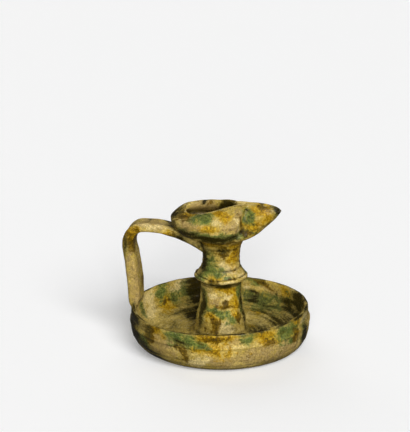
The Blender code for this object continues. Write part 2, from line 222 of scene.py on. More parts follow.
class Recipe(Graph):
    """A Geometry Nodes tree with named inputs, which ends in Realize Instances and Set Material."""

    def __init__(self, name: str) -> None:
        """Start an empty tree with a way in and a way out."""
        super().__init__(bpy.data.node_groups.new(name, "GeometryNodeTree"))
        for way in ("INPUT", "OUTPUT"):
            self.tree.interface.new_socket(name="Geometry", in_out=way, socket_type="NodeSocketGeometry")
        self.entry = self.tree.nodes.new("NodeGroupInput")
        self.exit = self.tree.nodes.new("NodeGroupOutput")
        self.line = Value(self, self.entry.outputs["Geometry"])

    def size(self, name: str, default: float) -> Value:
        """Add a named input with its default value."""
        kind = "NodeSocketInt" if isinstance(default, int) else "NodeSocketFloat"
        self.tree.interface.new_socket(name=name, in_out="INPUT", socket_type=kind).default_value = default
        return Value(self, self.entry.outputs[name])

    def stored(self, name: str, kind: str = "FLOAT") -> Value:
        """A named attribute of the geometry."""
        return self.node("GeometryNodeInputNamedAttribute", {"data_type": kind}, {"Name": name})

    def at_row(self, value: Value, row: Value, kind: str = "FLOAT") -> Value:
        """What a value is on the incoming line's point of that number."""
        return self.node(
            "GeometryNodeSampleIndex", {"data_type": kind},
            {"Geometry": self.line, "Value": value, "Index": row}
        )

    def sheet(self, around: Value) -> tuple[Value, Value, Value]:
        """Rows of points, one row for each point of the line and one more point a row than goes around.

        Args:
            around: number of steps round each row.

        Returns:
            The sheet, each point's row, and its angle round the row.
        """
        rows = self.node(
            "GeometryNodeAttributeDomainSize", {"component": "MESH"}, {"Geometry": self.line}, "Point Count"
        )
        counts = {"Vertices X": rows, "Vertices Y": around + 1.0}
        sheet = self.node("GeometryNodeMeshGrid", None, counts, "Mesh")
        index = self.node("GeometryNodeInputIndex")
        row = self.math("FLOOR", (index + 0.5) / (around + 1.0))
        angle = (index - row * (around + 1.0)) * (2.0 * math.pi) / around
        return sheet, row, angle

    def close(self, sheet: Value, position: Value, material: bpy.types.Material) -> None:
        """Move the sheet's points to their places, close its seams and give it its material."""
        moved = self.node("GeometryNodeSetPosition", None, {"Geometry": sheet, "Position": position})
        merged = self.node("GeometryNodeMergeByDistance", None, {"Geometry": moved, "Distance": 0.01 * MM})
        whole = self.node("GeometryNodeRealizeInstances", None, {"Geometry": merged})
        dressed = self.node("GeometryNodeSetMaterial", None, {"Geometry": whole, "Material": material})
        self.tree.links.new(dressed.socket, self.exit.inputs["Geometry"])

    def follow(self, line: bpy.types.Mesh, sizes: dict[str, float]) -> bpy.types.Mesh:
        """Run the tree on a line.

        Args:
            line: mesh of the line, with the attributes that the tree reads.
            sizes: values of the named inputs.

        Returns:
            A plain mesh of the result.
        """
        carrier = bpy.data.objects.new(line.name, line)
        bpy.context.scene.collection.objects.link(carrier)
        modifier = carrier.modifiers.new(self.tree.name, "NODES")
        modifier.node_group = self.tree
        for socket in self.tree.interface.items_tree:
            if socket.in_out == "INPUT" and socket.name in sizes:
                modifier[socket.identifier] = sizes[socket.name]
        bpy.context.view_layer.update()
        mesh = bpy.data.meshes.new_from_object(carrier.evaluated_get(bpy.context.evaluated_depsgraph_get()))
        bpy.data.objects.remove(carrier)
        return mesh


def smooth_through(stations: Sequence[tuple[float, float]], at: np.ndarray | float) -> np.ndarray:
    """Values on a smooth curve through stations.

    Args:
        stations: (place, value) pairs in rising order of place.
        at: places to read.

    Returns:
        The value at each place.
    """
    places, values = np.array(stations, float).T
    slopes = np.empty_like(values)
    slopes[1:-1] = (values[2:] - values[:-2]) / (places[2:] - places[:-2])
    slopes[0] = (values[1] - values[0]) / (places[1] - places[0])
    slopes[-1] = (values[-1] - values[-2]) / (places[-1] - places[-2])
    at = np.clip(at, places[0], places[-1])
    index = np.clip(np.searchsorted(places, at, side="right") - 1, 0, len(places) - 2)
    span = places[index + 1] - places[index]
    share = (at - places[index]) / span
    square, cube = share ** 2, share ** 3
    return (
        (2.0 * cube - 3.0 * square + 1.0) * values[index]
        + (cube - 2.0 * square + share) * span * slopes[index]
        + (3.0 * square - 2.0 * cube) * values[index + 1]
        + (cube - square) * span * slopes[index + 1]
    )


def fade(value: np.ndarray, low: float, high: float) -> np.ndarray:
    """Smooth step of values from 0 at the low number to 1 at the high one."""
    share = np.clip((value - low) / (high - low), 0.0, 1.0)
    return share * share * (3.0 - 2.0 * share)


def arc(
    centre: tuple[float, float], radii: tuple[float, float], start: float, end: float, count: int
) -> list:
    """Points on an elliptical arc between two angles in degrees, both ends included."""
    angles = np.radians(np.linspace(start, end, count + 1))
    return [(centre[0] + radii[0] * math.cos(a), centre[1] + radii[1] * math.sin(a)) for a in angles]


def bumps(places: np.ndarray, size: float, seed: float) -> np.ndarray:
    """Soft noise between about -1 and 1 at places in millimetres, with patches of that size."""
    shift = Vector((seed, 1.7 * seed, 2.3 * seed))
    return np.array([noise.noise(Vector(place) / size + shift) for place in places])


@dataclass(frozen=True)
class Run:
    """A stretch of an outline that the potter shaped in one pass."""

    points: list[tuple[float, float]]
    spacing: float = 0.9
    rings: float = 1.0


@dataclass
class Outline:
    """Half section of a thrown form, from the middle of its top, over its outside, to its base's middle."""

    runs: list[Run] = field(default_factory=list)

    def drawn(self) -> tuple[np.ndarray, np.ndarray]:
        """Closely spaced points on the outline.

        Returns:
            The (radius, height) points, and how much of the throwing rings each keeps.
        """
        points, rings = [], []
        for run in self.runs:
            control = np.array(run.points)
            steps = np.concatenate(([0.0], np.cumsum(np.linalg.norm(np.diff(control, axis=0), axis=1))))
            count = max(2, math.ceil(steps[-1] / run.spacing))
            at = np.linspace(0.0, steps[-1], count + 1)[:-1]
            radius = smooth_through(list(zip(steps, control[:, 0])), at)
            height = smooth_through(list(zip(steps, control[:, 1])), at)
            points.append(np.stack((radius, height), axis=1))
            rings.append(np.full(count, run.rings))
        points.append(np.array([self.runs[-1].points[-1]]))
        rings.append(np.array([0.0]))
        return np.concatenate(points), np.concatenate(rings)

    def line(self, name: str) -> bpy.types.Mesh:
        """The outline as a mesh of points with the attributes that the turned form reads."""
        points, rings = self.drawn()
        for _ in range(2):
            points[1:-1] = 0.25 * points[:-2] + 0.5 * points[1:-1] + 0.25 * points[2:]
        for _ in range(6):
            rings[1:-1] = 0.25 * rings[:-2] + 0.5 * rings[1:-1] + 0.25 * rings[2:]
        rings[0] = 0.0
        along = np.concatenate(([0.0], np.cumsum(np.linalg.norm(np.diff(points, axis=0), axis=1))))
        heading = np.gradient(points, along, axis=0)
        heading /= np.linalg.norm(heading, axis=1)[:, None]
        zeros = np.zeros(len(points))
        places = np.stack((points[:, 0], zeros, points[:, 1]), axis=1)
        out = np.stack((-heading[:, 1], zeros, heading[:, 0]), axis=1)
        return points_mesh(name, places * MM, {"out": out, "rings": rings, "along": along * MM})


def points_mesh(name: str, places: np.ndarray, values: dict[str, np.ndarray]) -> bpy.types.Mesh:
    """Mesh of loose points in metres that carries named attributes."""
    mesh = bpy.data.meshes.new(name)
    mesh.from_pydata(places.tolist(), [], [])
    for key, value in values.items():
        store(mesh, key, value)
    return mesh


def store(mesh: bpy.types.Mesh, key: str, value: np.ndarray) -> None:
    """Keep a number or a vector for each point of a mesh under a name."""
    kind, label = ("FLOAT", "value") if value.ndim == 1 else ("FLOAT_VECTOR", "vector")
    mesh.attributes.new(key, kind, "POINT").data.foreach_set(label, value.astype(np.float32).ravel())


def turned_form(material: bpy.types.Material) -> Recipe:
    """Recipe that turns an outline on the wheel, with throwing rings and a slight wobble."""
    recipe = Recipe("turned_form")
    around = recipe.size("Columns", 240)
    depth = recipe.size("Ring Depth", 0.15 * MM)
    spacing = recipe.size("Ring Spacing", 4.5 * MM)
    wobble = recipe.size("Wobble", 0.3 * MM)
    patch = recipe.size("Wobble Patches", 60.0)
    seed = recipe.size("Seed", 3.0)
    sheet, row, angle = recipe.sheet(around)
    spot = recipe.at_row(recipe.node("GeometryNodeInputPosition"), row, "FLOAT_VECTOR")
    out = recipe.at_row(recipe.stored("out", "FLOAT_VECTOR"), row, "FLOAT_VECTOR")
    share = recipe.at_row(recipe.stored("rings"), row)
    along = recipe.at_row(recipe.stored("along"), row)
    radius, _, height = recipe.apart(spot)
    out_across, _, out_up = recipe.apart(out)
    east, north = recipe.math("COSINE", angle), recipe.math("SINE", angle)
    place = recipe.together(east * radius, north * radius, height)
    lumps = recipe.node(
        "ShaderNodeTexNoise", {"noise_dimensions": "4D"},
        {"Vector": place, "W": seed, "Scale": patch, "Detail": 2.0}
    )
    ring = recipe.math("SINE", along / spacing * (2.0 * math.pi) + angle)
    lift = share * (depth * ring + wobble * (lumps - 0.5) * 2.0)
    reach = radius + out_across * lift
    recipe.close(sheet, recipe.together(east * reach, north * reach, height + out_up * lift), material)
    return recipe


def pulled_strap(material: bpy.types.Material) -> Recipe:
    """Recipe that lays a rounded strap of clay along a path, with finger marks across it."""
    recipe = Recipe("pulled_strap")
    around = recipe.size("Columns", 72)
    squareness = recipe.size("Squareness", 0.6)
    hollow = recipe.size("Thumb Groove", 0.2)
    wobble = recipe.size("Wobble", 0.1)
    patch = recipe.size("Wobble Patches", 70.0)
    seed = recipe.size("Seed", 5.0)
    sheet, row, angle = recipe.sheet(around)
    spot = recipe.at_row(recipe.node("GeometryNodeInputPosition"), row, "FLOAT_VECTOR")
    out = recipe.at_row(recipe.stored("out", "FLOAT_VECTOR"), row, "FLOAT_VECTOR")
    half_width = recipe.at_row(recipe.stored("half_width"), row)
    half_thickness = recipe.at_row(recipe.stored("half_thickness"), row)
    east, north = recipe.math("COSINE", angle), recipe.math("SINE", angle)
    across = recipe.math("SIGN", east) * recipe.math("POWER", recipe.math("ABSOLUTE", east), squareness)
    through = recipe.math("SIGN", north) * recipe.math("POWER", recipe.math("ABSOLUTE", north), squareness)
    groove = 1.0 - hollow * recipe.math("MAXIMUM", 1.0 - across * across * 1.6, 0.0) * recipe.math(
        "MAXIMUM", through, 0.0
    )
    lumps = recipe.node(
        "ShaderNodeTexNoise", {"noise_dimensions": "4D"},
        {"Vector": spot, "W": seed, "Scale": patch, "Detail": 2.0}
    )
    swell = 1.0 + wobble * (lumps - 0.5) * 2.0
    side = recipe.together(0.0, half_width * across * swell, 0.0)
    face = recipe.scaled(out, half_thickness * through * groove * swell)
    recipe.close(sheet, recipe.vector("ADD", recipe.vector("ADD", spot, side), face), material)
    return recipe


def closed_loft(name: str, rings: Sequence[np.ndarray]) -> bpy.types.Mesh:
    """Closed mesh in metres through equal rings of points in millimetres, capped at both ends."""
    count = len(rings[0])
    points = np.concatenate([*rings, [rings[0].mean(axis=0)], [rings[-1].mean(axis=0)]]) * MM
    faces = []
    for level in range(len(rings) - 1):
        low, high = level * count, (level + 1) * count
        for index in range(count):
            after = (index + 1) % count
            faces.append((low + index, low + after, high + after, high + index))
    last = (len(rings) - 1) * count
    for index in range(count):
        after = (index + 1) % count
        faces.append((len(points) - 2, after, index))
        faces.append((len(points) - 1, last + index, last + after))
    mesh = bpy.data.meshes.new(name)
    mesh.from_pydata(points.tolist(), [], faces)
    return mesh


def facing_out(mesh: bpy.types.Mesh) -> bpy.types.Mesh:
    """The same closed mesh with its faces turned outwards."""
    shell = bmesh.new()
    shell.from_mesh(mesh)
    bmesh.ops.recalc_face_normals(shell, faces=shell.faces)
    shell.to_mesh(mesh)
    shell.free()
    return mesh


@dataclass
class DripDish:
    """The wide dish under the stem, with its ridge and its uneven lip."""

    rim_radius: float = 69.2
    height: float = 31.6
    base_radius: float = 57.0
    lip_thickness: float = 3.4
    wall_thickness: float = 6.4
    floor_thickness: float = 8.0
    floor_rise: float = 1.6
    ridge_drop: float = 10.6
    ridge_proud: float = 1.6
    foot_hollow: float = 0.7
    bulge: float = 0.030
    bulge_azimuth: float = math.radians(-132.0)
    lip_rise: float = 0.024
    lip_rise_azimuth: float = math.radians(-30.0)

    def runs(self, floor_start: tuple[float, float]) -> list[Run]:
        """Stretches of the dish's half section, from the foot of the stem to the middle of its base."""
        half_lip = 0.5 * self.lip_thickness
        ridge = self.rim_radius + self.ridge_proud
        ridge_z = self.height - self.ridge_drop
        belly, belly_z = ridge - 0.7, ridge_z - 3.2
        inside = belly - self.wall_thickness + 0.1
        floor_edge = 0.68 * inside
        floor_z = self.floor_thickness + self.floor_rise
        inner = arc((floor_edge, belly_z), (inside - floor_edge, belly_z - floor_z), -90.0, 0.0, 8)
        lip = arc((self.rim_radius - half_lip, self.height - half_lip), (half_lip, half_lip), 180.0, 0.0, 8)
        outer = arc((self.base_radius, belly_z), (belly - self.base_radius, belly_z), -4.0, -90.0, 9)
        return [
            Run([floor_start, (34.0, floor_z - 1.3), *inner], 1.3),
            Run([inner[-1], (inside + 0.9, belly_z + 5.0), lip[0]], 1.0, 0.8),
            Run(lip, 0.55, 0.0),
            Run([lip[-1], (self.rim_radius + 0.1, ridge_z + 6.5), (self.rim_radius + 0.2, ridge_z + 3.6),
                 (ridge - 0.9, ridge_z + 1.5), (ridge - 0.1, ridge_z + 0.5)], 0.75, 0.35),
            Run([(ridge - 0.1, ridge_z + 0.5), (ridge, ridge_z), (ridge - 0.25, ridge_z - 0.5),
                 (ridge - 0.62, ridge_z - 1.2), (ridge - 0.72, ridge_z - 2.1), outer[0]], 0.4, 0.1),
            Run(outer, 1.1, 0.6),
            Run([outer[-1], (self.base_radius - 5.0, 0.0)], 1.6, 0.0),
            Run([(self.base_radius - 5.0, 0.0), (self.base_radius - 8.0, 0.7 * self.foot_hollow),
                 (20.0, self.foot_hollow), (0.0, self.foot_hollow)], 4.0, 0.5),
        ]

    def pushed(self, places: np.ndarray) -> np.ndarray:
        """Places of a true dish, moved as the soft clay was pushed out of round and its lip lifted."""
        radius = np.hypot(places[:, 0], places[:, 1])
        azimuth = np.arctan2(places[:, 1], places[:, 0])
        height = np.clip(places[:, 2] / self.height, 0.0, 1.1)
        wall = np.minimum(1.0, radius / self.rim_radius) ** 4
        turned = azimuth - self.bulge_azimuth
        swell = self.bulge * (0.6 * np.cos(turned) + 0.4 * np.cos(2.0 * turned)) * wall
        lifted = azimuth - self.lip_rise_azimuth
        rise = self.lip_rise * (0.67 * np.cos(lifted) + 0.33 * np.cos(2.0 * lifted)) * wall
        moved = places.copy()
        moved[:, :2] *= (1.0 + swell * np.sqrt(height))[:, None]
        moved[:, 2] += self.rim_radius * rise * height ** 3
        return moved


@dataclass
class Stem:
    """The stem with its flared foot, its drooping collar and the neck that opens under the reservoir."""

    floor_z: float = 8.0
    top_z: float = 88.0
    buried: float = 4.0
    bell_radius: float = 20.3
    shaft_radius: float = 15.8
    shaft_top_z: float = 49.2
    collar_radius: float = 21.2
    collar_edge_z: float = 55.4
    collar_drop: float = 10.4
    neck_radius: float = 14.5
    flare_radius: float = 21.6
    flare_height: float = 15.5
    foot_edge: tuple[float, float] = (28.0, 8.15)

    def runs(self) -> list[Run]:
        """Stretches of the stem's half section, from the middle of its hidden top to the dish's floor."""
        flare = self.flare_radius - self.neck_radius
        hidden_z = self.top_z + self.buried
        neck_top = self.top_z - self.flare_height
        reach = self.collar_radius - self.neck_radius
        edge_z = self.collar_edge_z
        shoulder = (self.flare_radius - 0.4 * flare, hidden_z)
        edge = (self.collar_radius, edge_z)
        return [
            Run([(0.0, hidden_z), shoulder], 6.0, 0.0),
            Run([shoulder, (self.flare_radius, hidden_z - 0.6),
                 (self.flare_radius - 0.06 * flare, hidden_z - 2.5),
                 *arc((self.flare_radius, neck_top), (flare, self.flare_height), 105.0, 180.0, 6),
                 (self.neck_radius, 0.5 * (neck_top + edge_z + self.collar_drop)),
                 (self.neck_radius + 0.10 * reach, edge_z + 0.86 * self.collar_drop),
                 (self.neck_radius + 0.34 * reach, edge_z + 0.56 * self.collar_drop),
                 (self.neck_radius + 0.56 * reach, edge_z + 0.38 * self.collar_drop),
                 (edge[0] - 2.2, edge_z + 2.7)], 0.95, 0.9),
            Run([(edge[0] - 2.2, edge_z + 2.7), (edge[0] - 2.0, edge_z + 2.0), (edge[0] - 1.0, edge_z + 1.9),
                 (edge[0] - 0.2, edge_z + 1.2), edge, (edge[0] - 0.5, edge_z - 0.9),
                 (edge[0] - 1.6, edge_z - 1.4)], 0.36, 0.0),
            Run([(edge[0] - 1.6, edge_z - 1.4), (self.shaft_radius + 1.4, edge_z - 2.9),
                 (self.shaft_radius + 0.3, self.shaft_top_z + 1.4), (self.shaft_radius, self.shaft_top_z)],
                0.7, 0.0),
            Run([(self.shaft_radius, self.shaft_top_z), (self.shaft_radius + 0.27, 40.6),
                 (self.shaft_radius + 0.86, 34.1), (self.shaft_radius + 1.9, 28.7),
                 (self.shaft_radius + 3.4, 23.2), (self.bell_radius, 15.2), (self.bell_radius + 1.3, 11.6),
                 (self.bell_radius + 3.8, 9.2), self.foot_edge], 0.95, 0.8),
        ]


@dataclass
class ThrownBody:
    """Dish, stem, collar and neck, which are turned as one form."""

    dish: DripDish
    stem: Stem
    columns: int = 240
    ring_depth: float = 0.13
    ring_spacing: float = 4.3
    wobble: float = 0.26

    def mesh(self, material: bpy.types.Material) -> bpy.types.Mesh:
        """The turned form, pushed out of round and with its collar edge uneven, in metres."""
        outline = Outline(self.stem.runs() + self.dish.runs(self.stem.foot_edge))
        mesh = turned_form(material).follow(
            outline.line("thrown_body"),
            {"Columns": self.columns, "Ring Depth": self.ring_depth * MM,
             "Ring Spacing": self.ring_spacing * MM,
             "Wobble": self.wobble * MM, "Wobble Patches": 55.0, "Seed": 3.0},
        )
        places = read_places(mesh)
        places = self.dish.pushed(places)
        places = self.drooped(places)
        write_places(mesh, places)
        return facing_out(mesh)

    def drooped(self, places: np.ndarray) -> np.ndarray:
        """Places with the collar's edge bent up and down and drawn in and out along its length."""
        radius = np.hypot(places[:, 0], places[:, 1])
        azimuth = np.arctan2(places[:, 1], places[:, 0])
        stem = self.stem
        reach = stem.collar_radius - stem.neck_radius
        near_edge = fade(radius, stem.neck_radius + 0.2 * reach, stem.collar_radius - 0.6)
        near_edge *= fade(places[:, 2], stem.shaft_top_z, stem.collar_edge_z - 2.0)
        near_edge *= 1.0 - fade(places[:, 2], stem.collar_edge_z + 6.0, stem.collar_edge_z + 10.0)
        near_edge *= radius < stem.collar_radius + 3.0
        around = np.stack((np.cos(azimuth), np.sin(azimuth), np.zeros(len(azimuth))), axis=1)
        slow, quick = bumps(around, 0.55, 4.0), bumps(around, 0.16, 9.0)
        sag = -1.2 * np.exp(-((azimuth + math.radians(97.0)) / 0.30) ** 2)
        moved = places.copy()
        moved[:, 2] += near_edge * (0.8 * slow + 0.35 * quick + sag)
        moved[:, :2] *= (1.0 + near_edge * (0.012 * slow + 0.014 * quick - 0.012))[:, None]
        return moved


@dataclass
class Reservoir:
    """The oil cup, whose incurved rim is pinched into a pointed spout."""

    underside_z: float = 88.0
    height: float = 27.4
    foot_radius: float = 20.4
    back_reach: float = 39.4
    spout_reach: float = 47.0
    half_width: float = 25.6
    wall: float = 4.6
    floor: float = 6.4
    lip: float = 2.6
    mouth_back_reach: float = 27.5
    mouth_spout_reach: float = 42.0
    mouth_half_width: float = 10.6
    shoulder_power: float = 1.62
    inner_power: float = 5.0
    far_rise: float = 0.6
    near_dip: float = 4.6
    mouth_skew: float = 0.30
    fold_depth: float = 3.4
    fold_lead: float = 2.5
    fold_crisp: float = 1.1
    fold_trail: float = 8.0
    fold_foot: tuple[float, float] = (15.2, 97.4)
    fold_head: tuple[float, float] = (19.6, 116.0)
    columns: int = 280

    def angles(self) -> np.ndarray:
        """Angles round the plan, 0 at the spout's tip, closer together across the folds."""
        even = np.linspace(0.0, 2.0 * math.pi, 1441)
        from_fold = np.minimum(np.abs(even - math.radians(75.0)), np.abs(even - math.radians(285.0)))
        density = 1.0 + 1.8 * np.exp(-((from_fold / math.radians(13.0)) ** 2))
        passed = np.concatenate(([0.0], np.cumsum(0.5 * (density[1:] + density[:-1]))))
        return np.interp(np.linspace(0.0, passed[-1], self.columns, endpoint=False), passed, even)

    @staticmethod
    def body_share(along: np.ndarray) -> np.ndarray:
        """Fullness of the plan along it: round behind, a crease where it was pinched, and a long spout."""
        return smooth_through(
            [(-1.0, 1.20), (-0.55, 1.12), (-0.20, 1.01), (0.06, 0.94), (0.20, 0.860), (0.28, 0.775),
             (0.335, 0.640), (0.39, 0.562), (0.46, 0.548), (0.62, 0.525), (0.80, 0.46), (1.0, 0.34)], along
        )

    @staticmethod
    def mouth_share(along: np.ndarray) -> np.ndarray:
        """Fullness of the mouth along it: a wide slot behind and a narrow wick channel in front."""
        return smooth_through(
            [(-1.0, 1.25), (-0.70, 1.22), (-0.42, 1.08), (-0.16, 0.88), (0.02, 0.58), (0.14, 0.29),
             (0.27, 0.17), (0.44, 0.15), (0.62, 0.15), (0.84, 0.20), (1.0, 0.34)], along
        )

    @staticmethod
    def plan(
        angle: np.ndarray, back: float, spout: float, half_width: float,
        share: Callable[[np.ndarray], np.ndarray], shift: np.ndarray | float = 0.0,
    ) -> np.ndarray:
        """Points of a plan outline.

        Args:
            angle: angles round the plan.
            back: how far it reaches behind the stem.
            spout: how far it reaches in front of the stem.
            half_width: half its width.
            share: fullness along the plan.
            shift: how far forward along the plan the fullness is read.

        Returns:
            The (x, y) points.
        """
        along = np.cos(angle)
        middle, half_length = 0.5 * (spout - back), 0.5 * (spout + back)
        fullness = share(np.clip(along + shift, -1.0, 1.0))
        return np.stack((middle + half_length * along, half_width * fullness * np.sin(angle)), axis=1)

    def widest_z(self, x: np.ndarray) -> np.ndarray:
        """Height of the wall's widest line, which climbs to the spout's tip."""
        return self.underside_z + self.height * smooth_through(
            [(-self.back_reach, 0.540), (-0.7 * self.back_reach, 0.50), (0.0, 0.455),
             (0.6 * self.spout_reach, 0.640), (self.spout_reach, 0.832)], x
        )

    def rim_z(self, x: np.ndarray) -> np.ndarray:
        """Height of the rim, which rises to where the spout is pinched and falls to its tip."""
        return self.underside_z + self.height * smooth_through(
            [(-self.back_reach, 0.765), (-self.mouth_back_reach, 0.800),
             (-0.5 * self.mouth_back_reach, 0.868),
             (0.07 * self.spout_reach, 0.940), (0.46 * self.spout_reach, 0.985),
             (0.70 * self.spout_reach, 0.970),
             (self.mouth_spout_reach, 0.922), (self.spout_reach, 0.860)], x
        )

    def belly(self, turn: float, inset: float, foot_z: float) -> np.ndarray:
        """Ring of the wall below its widest line.

        Args:
            turn: 0 on the foot and 90 degrees on the widest line.
            inset: how far inside the outer wall the ring lies.
            foot_z: height of the foot.

        Returns:
            The ring's points.
        """
        angle = self.angles()
        foot = (self.foot_radius - inset) * np.stack((np.cos(angle), np.sin(angle)), axis=1)
        crease = 0.10 * math.cos(turn)
        widest = self.plan(
            angle, self.back_reach - inset, self.spout_reach - inset,
            self.half_width - inset, self.body_share,
            crease,
        )
        spout = np.maximum(0.0, np.cos(angle)) ** 2
        power = 2.0 / (2.3 - 1.0 * spout)
        out = (math.sin(turn) ** power)[:, None]
        up = 1.0 - max(math.cos(turn), 0.0) ** power
        flat = foot * (1.0 - out) + widest * out
        return np.column_stack((flat, foot_z + (self.widest_z(widest[:, 0]) - foot_z) * up))

    def shoulder(self, turn: float, inset: float, drop: float, outward: float) -> np.ndarray:
        """Ring of the incurved shoulder.

        Args:
            turn: 0 on the widest line and 90 degrees on the lip.
            inset: how far inside the outer wall the ring lies.
            drop: how far below the rim the ring ends.
            outward: how far outside the mouth's edge the ring ends.

        Returns:
            The ring's points.
        """
        angle = self.angles()
        widest = self.plan(
            angle, self.back_reach - inset, self.spout_reach - inset,
            self.half_width - inset, self.body_share
        )
        lip = self.plan(
            angle, self.mouth_back_reach + outward, self.mouth_spout_reach + outward, self.mouth_half_width,
            self.mouth_share,
        )
        lip[:, 1] += np.sign(np.sin(angle)) * outward * np.minimum(1.0, 2.0 * np.abs(np.sin(angle)))
        lip[:, 0] -= self.mouth_skew * lip[:, 1] * fade(-lip[:, 0], -4.0, 18.0)
        power = self.inner_power if inset > 0.0 else self.shoulder_power
        inward = 1.0 - max(math.cos(turn), 0.0) ** power
        flat = widest * (1.0 - inward) + lip * inward
        low = self.widest_z(widest[:, 0])
        far = fade(lip[:, 1], -8.0, 6.0)
        tilt = (self.far_rise * far - self.near_dip * (1.0 - far)) * fade(-lip[:, 0], -14.0, 22.0)
        high = self.rim_z(lip[:, 0]) - drop + tilt
        return np.column_stack((flat, low + (high - low) * math.sin(turn) ** self.shoulder_power))

    def lip_rings(self) -> list[np.ndarray]:
        """Rings over the rounded lip, from outside the mouth to inside it."""
        outer = self.shoulder(math.radians(90.0), 0.0, 0.0, self.lip)
        inner = self.shoulder(math.radians(90.0), self.wall, self.lip, 0.0)
        rings = []
        for degrees in (20.0, 45.0, 70.0, 95.0, 120.0, 145.0, 170.0):
            turn = math.radians(degrees)
            share = 0.5 * (1.0 - math.cos(turn))
            ring = outer * (1.0 - share) + inner * share
            inward = 0.5 * self.lip * max(0.0, share - 0.6)
            ring[:, 2] = outer[:, 2] + 0.16 * self.lip * math.sin(turn) - inward
            rings.append(ring)
        return rings

    def mesh(self) -> bpy.types.Mesh:
        """The cup as a closed, hollow form in metres, with its dents and its nicked lip."""
        rings = [self.belly(math.radians(d), 0.0, self.underside_z) for d in np.linspace(0.0, 90.0, 26)]
        rings += [self.shoulder(math.radians(d), 0.0, 0.0, self.lip) for d in np.linspace(5.0, 90.0, 18)]
        rings = [self.folded(ring) for ring in rings]
        rings += self.lip_rings()
        rings += [
            self.shoulder(math.radians(d), self.wall, self.lip, 0.0) for d in np.linspace(90.0, 8.0, 12)
        ]
        rings += [
            self.belly(math.radians(d), self.wall, self.underside_z + self.floor)
            for d in np.linspace(90.0, 16.0, 16)
        ]
        rings = [self.dented(ring) for ring in rings]
        return facing_out(closed_loft("reservoir", rings))

    def folded(self, ring: np.ndarray) -> np.ndarray:
        """A ring of the outer wall with the fold of the pinched spout, crisp behind and soft in front."""
        climb = (ring[:, 2] - self.fold_foot[1]) / (self.fold_head[1] - self.fold_foot[1])
        past = ring[:, 0] - (self.fold_foot[0] + climb * (self.fold_head[0] - self.fold_foot[0]))
        ahead, behind = np.maximum(past, 0.0), np.minimum(past, 0.0)
        swell = np.exp(behind / self.fold_lead) * np.exp(-ahead / self.fold_crisp)
        sink = self.fold_depth * (1.0 - np.exp(-ahead / self.fold_crisp)) * np.exp(-ahead / self.fold_trail)
        above = fade(ring[:, 2], self.underside_z + 3.0, self.underside_z + 9.0)
        share = fade(np.abs(ring[:, 1]), 4.5, 9.0) * above
        moved = ring.copy()
        moved[:, 1] += np.sign(ring[:, 1]) * share * (swell - sink)
        return moved

    def dented(self, ring: np.ndarray) -> np.ndarray:
        """A ring pushed in and out as fingers left it, alike on the wall's two faces."""
        moved = ring.copy()
        centre = np.array([3.0, 0.0, 104.0])
        away = ring - centre
        away /= np.linalg.norm(away, axis=1)[:, None]
        above = fade(ring[:, 2], self.underside_z, self.underside_z + 8.0)
        soft = bumps(away * 20.0, 13.0, 2.0)
        moved += away * (0.55 * above * soft)[:, None]
        rim = fade(ring[:, 2], self.rim_z(ring[:, 0]) - 5.0, self.rim_z(ring[:, 0]) - 0.5)
        moved[:, 2] += rim * (0.35 * bumps(ring, 7.0, 6.0) - 0.15)
        return moved


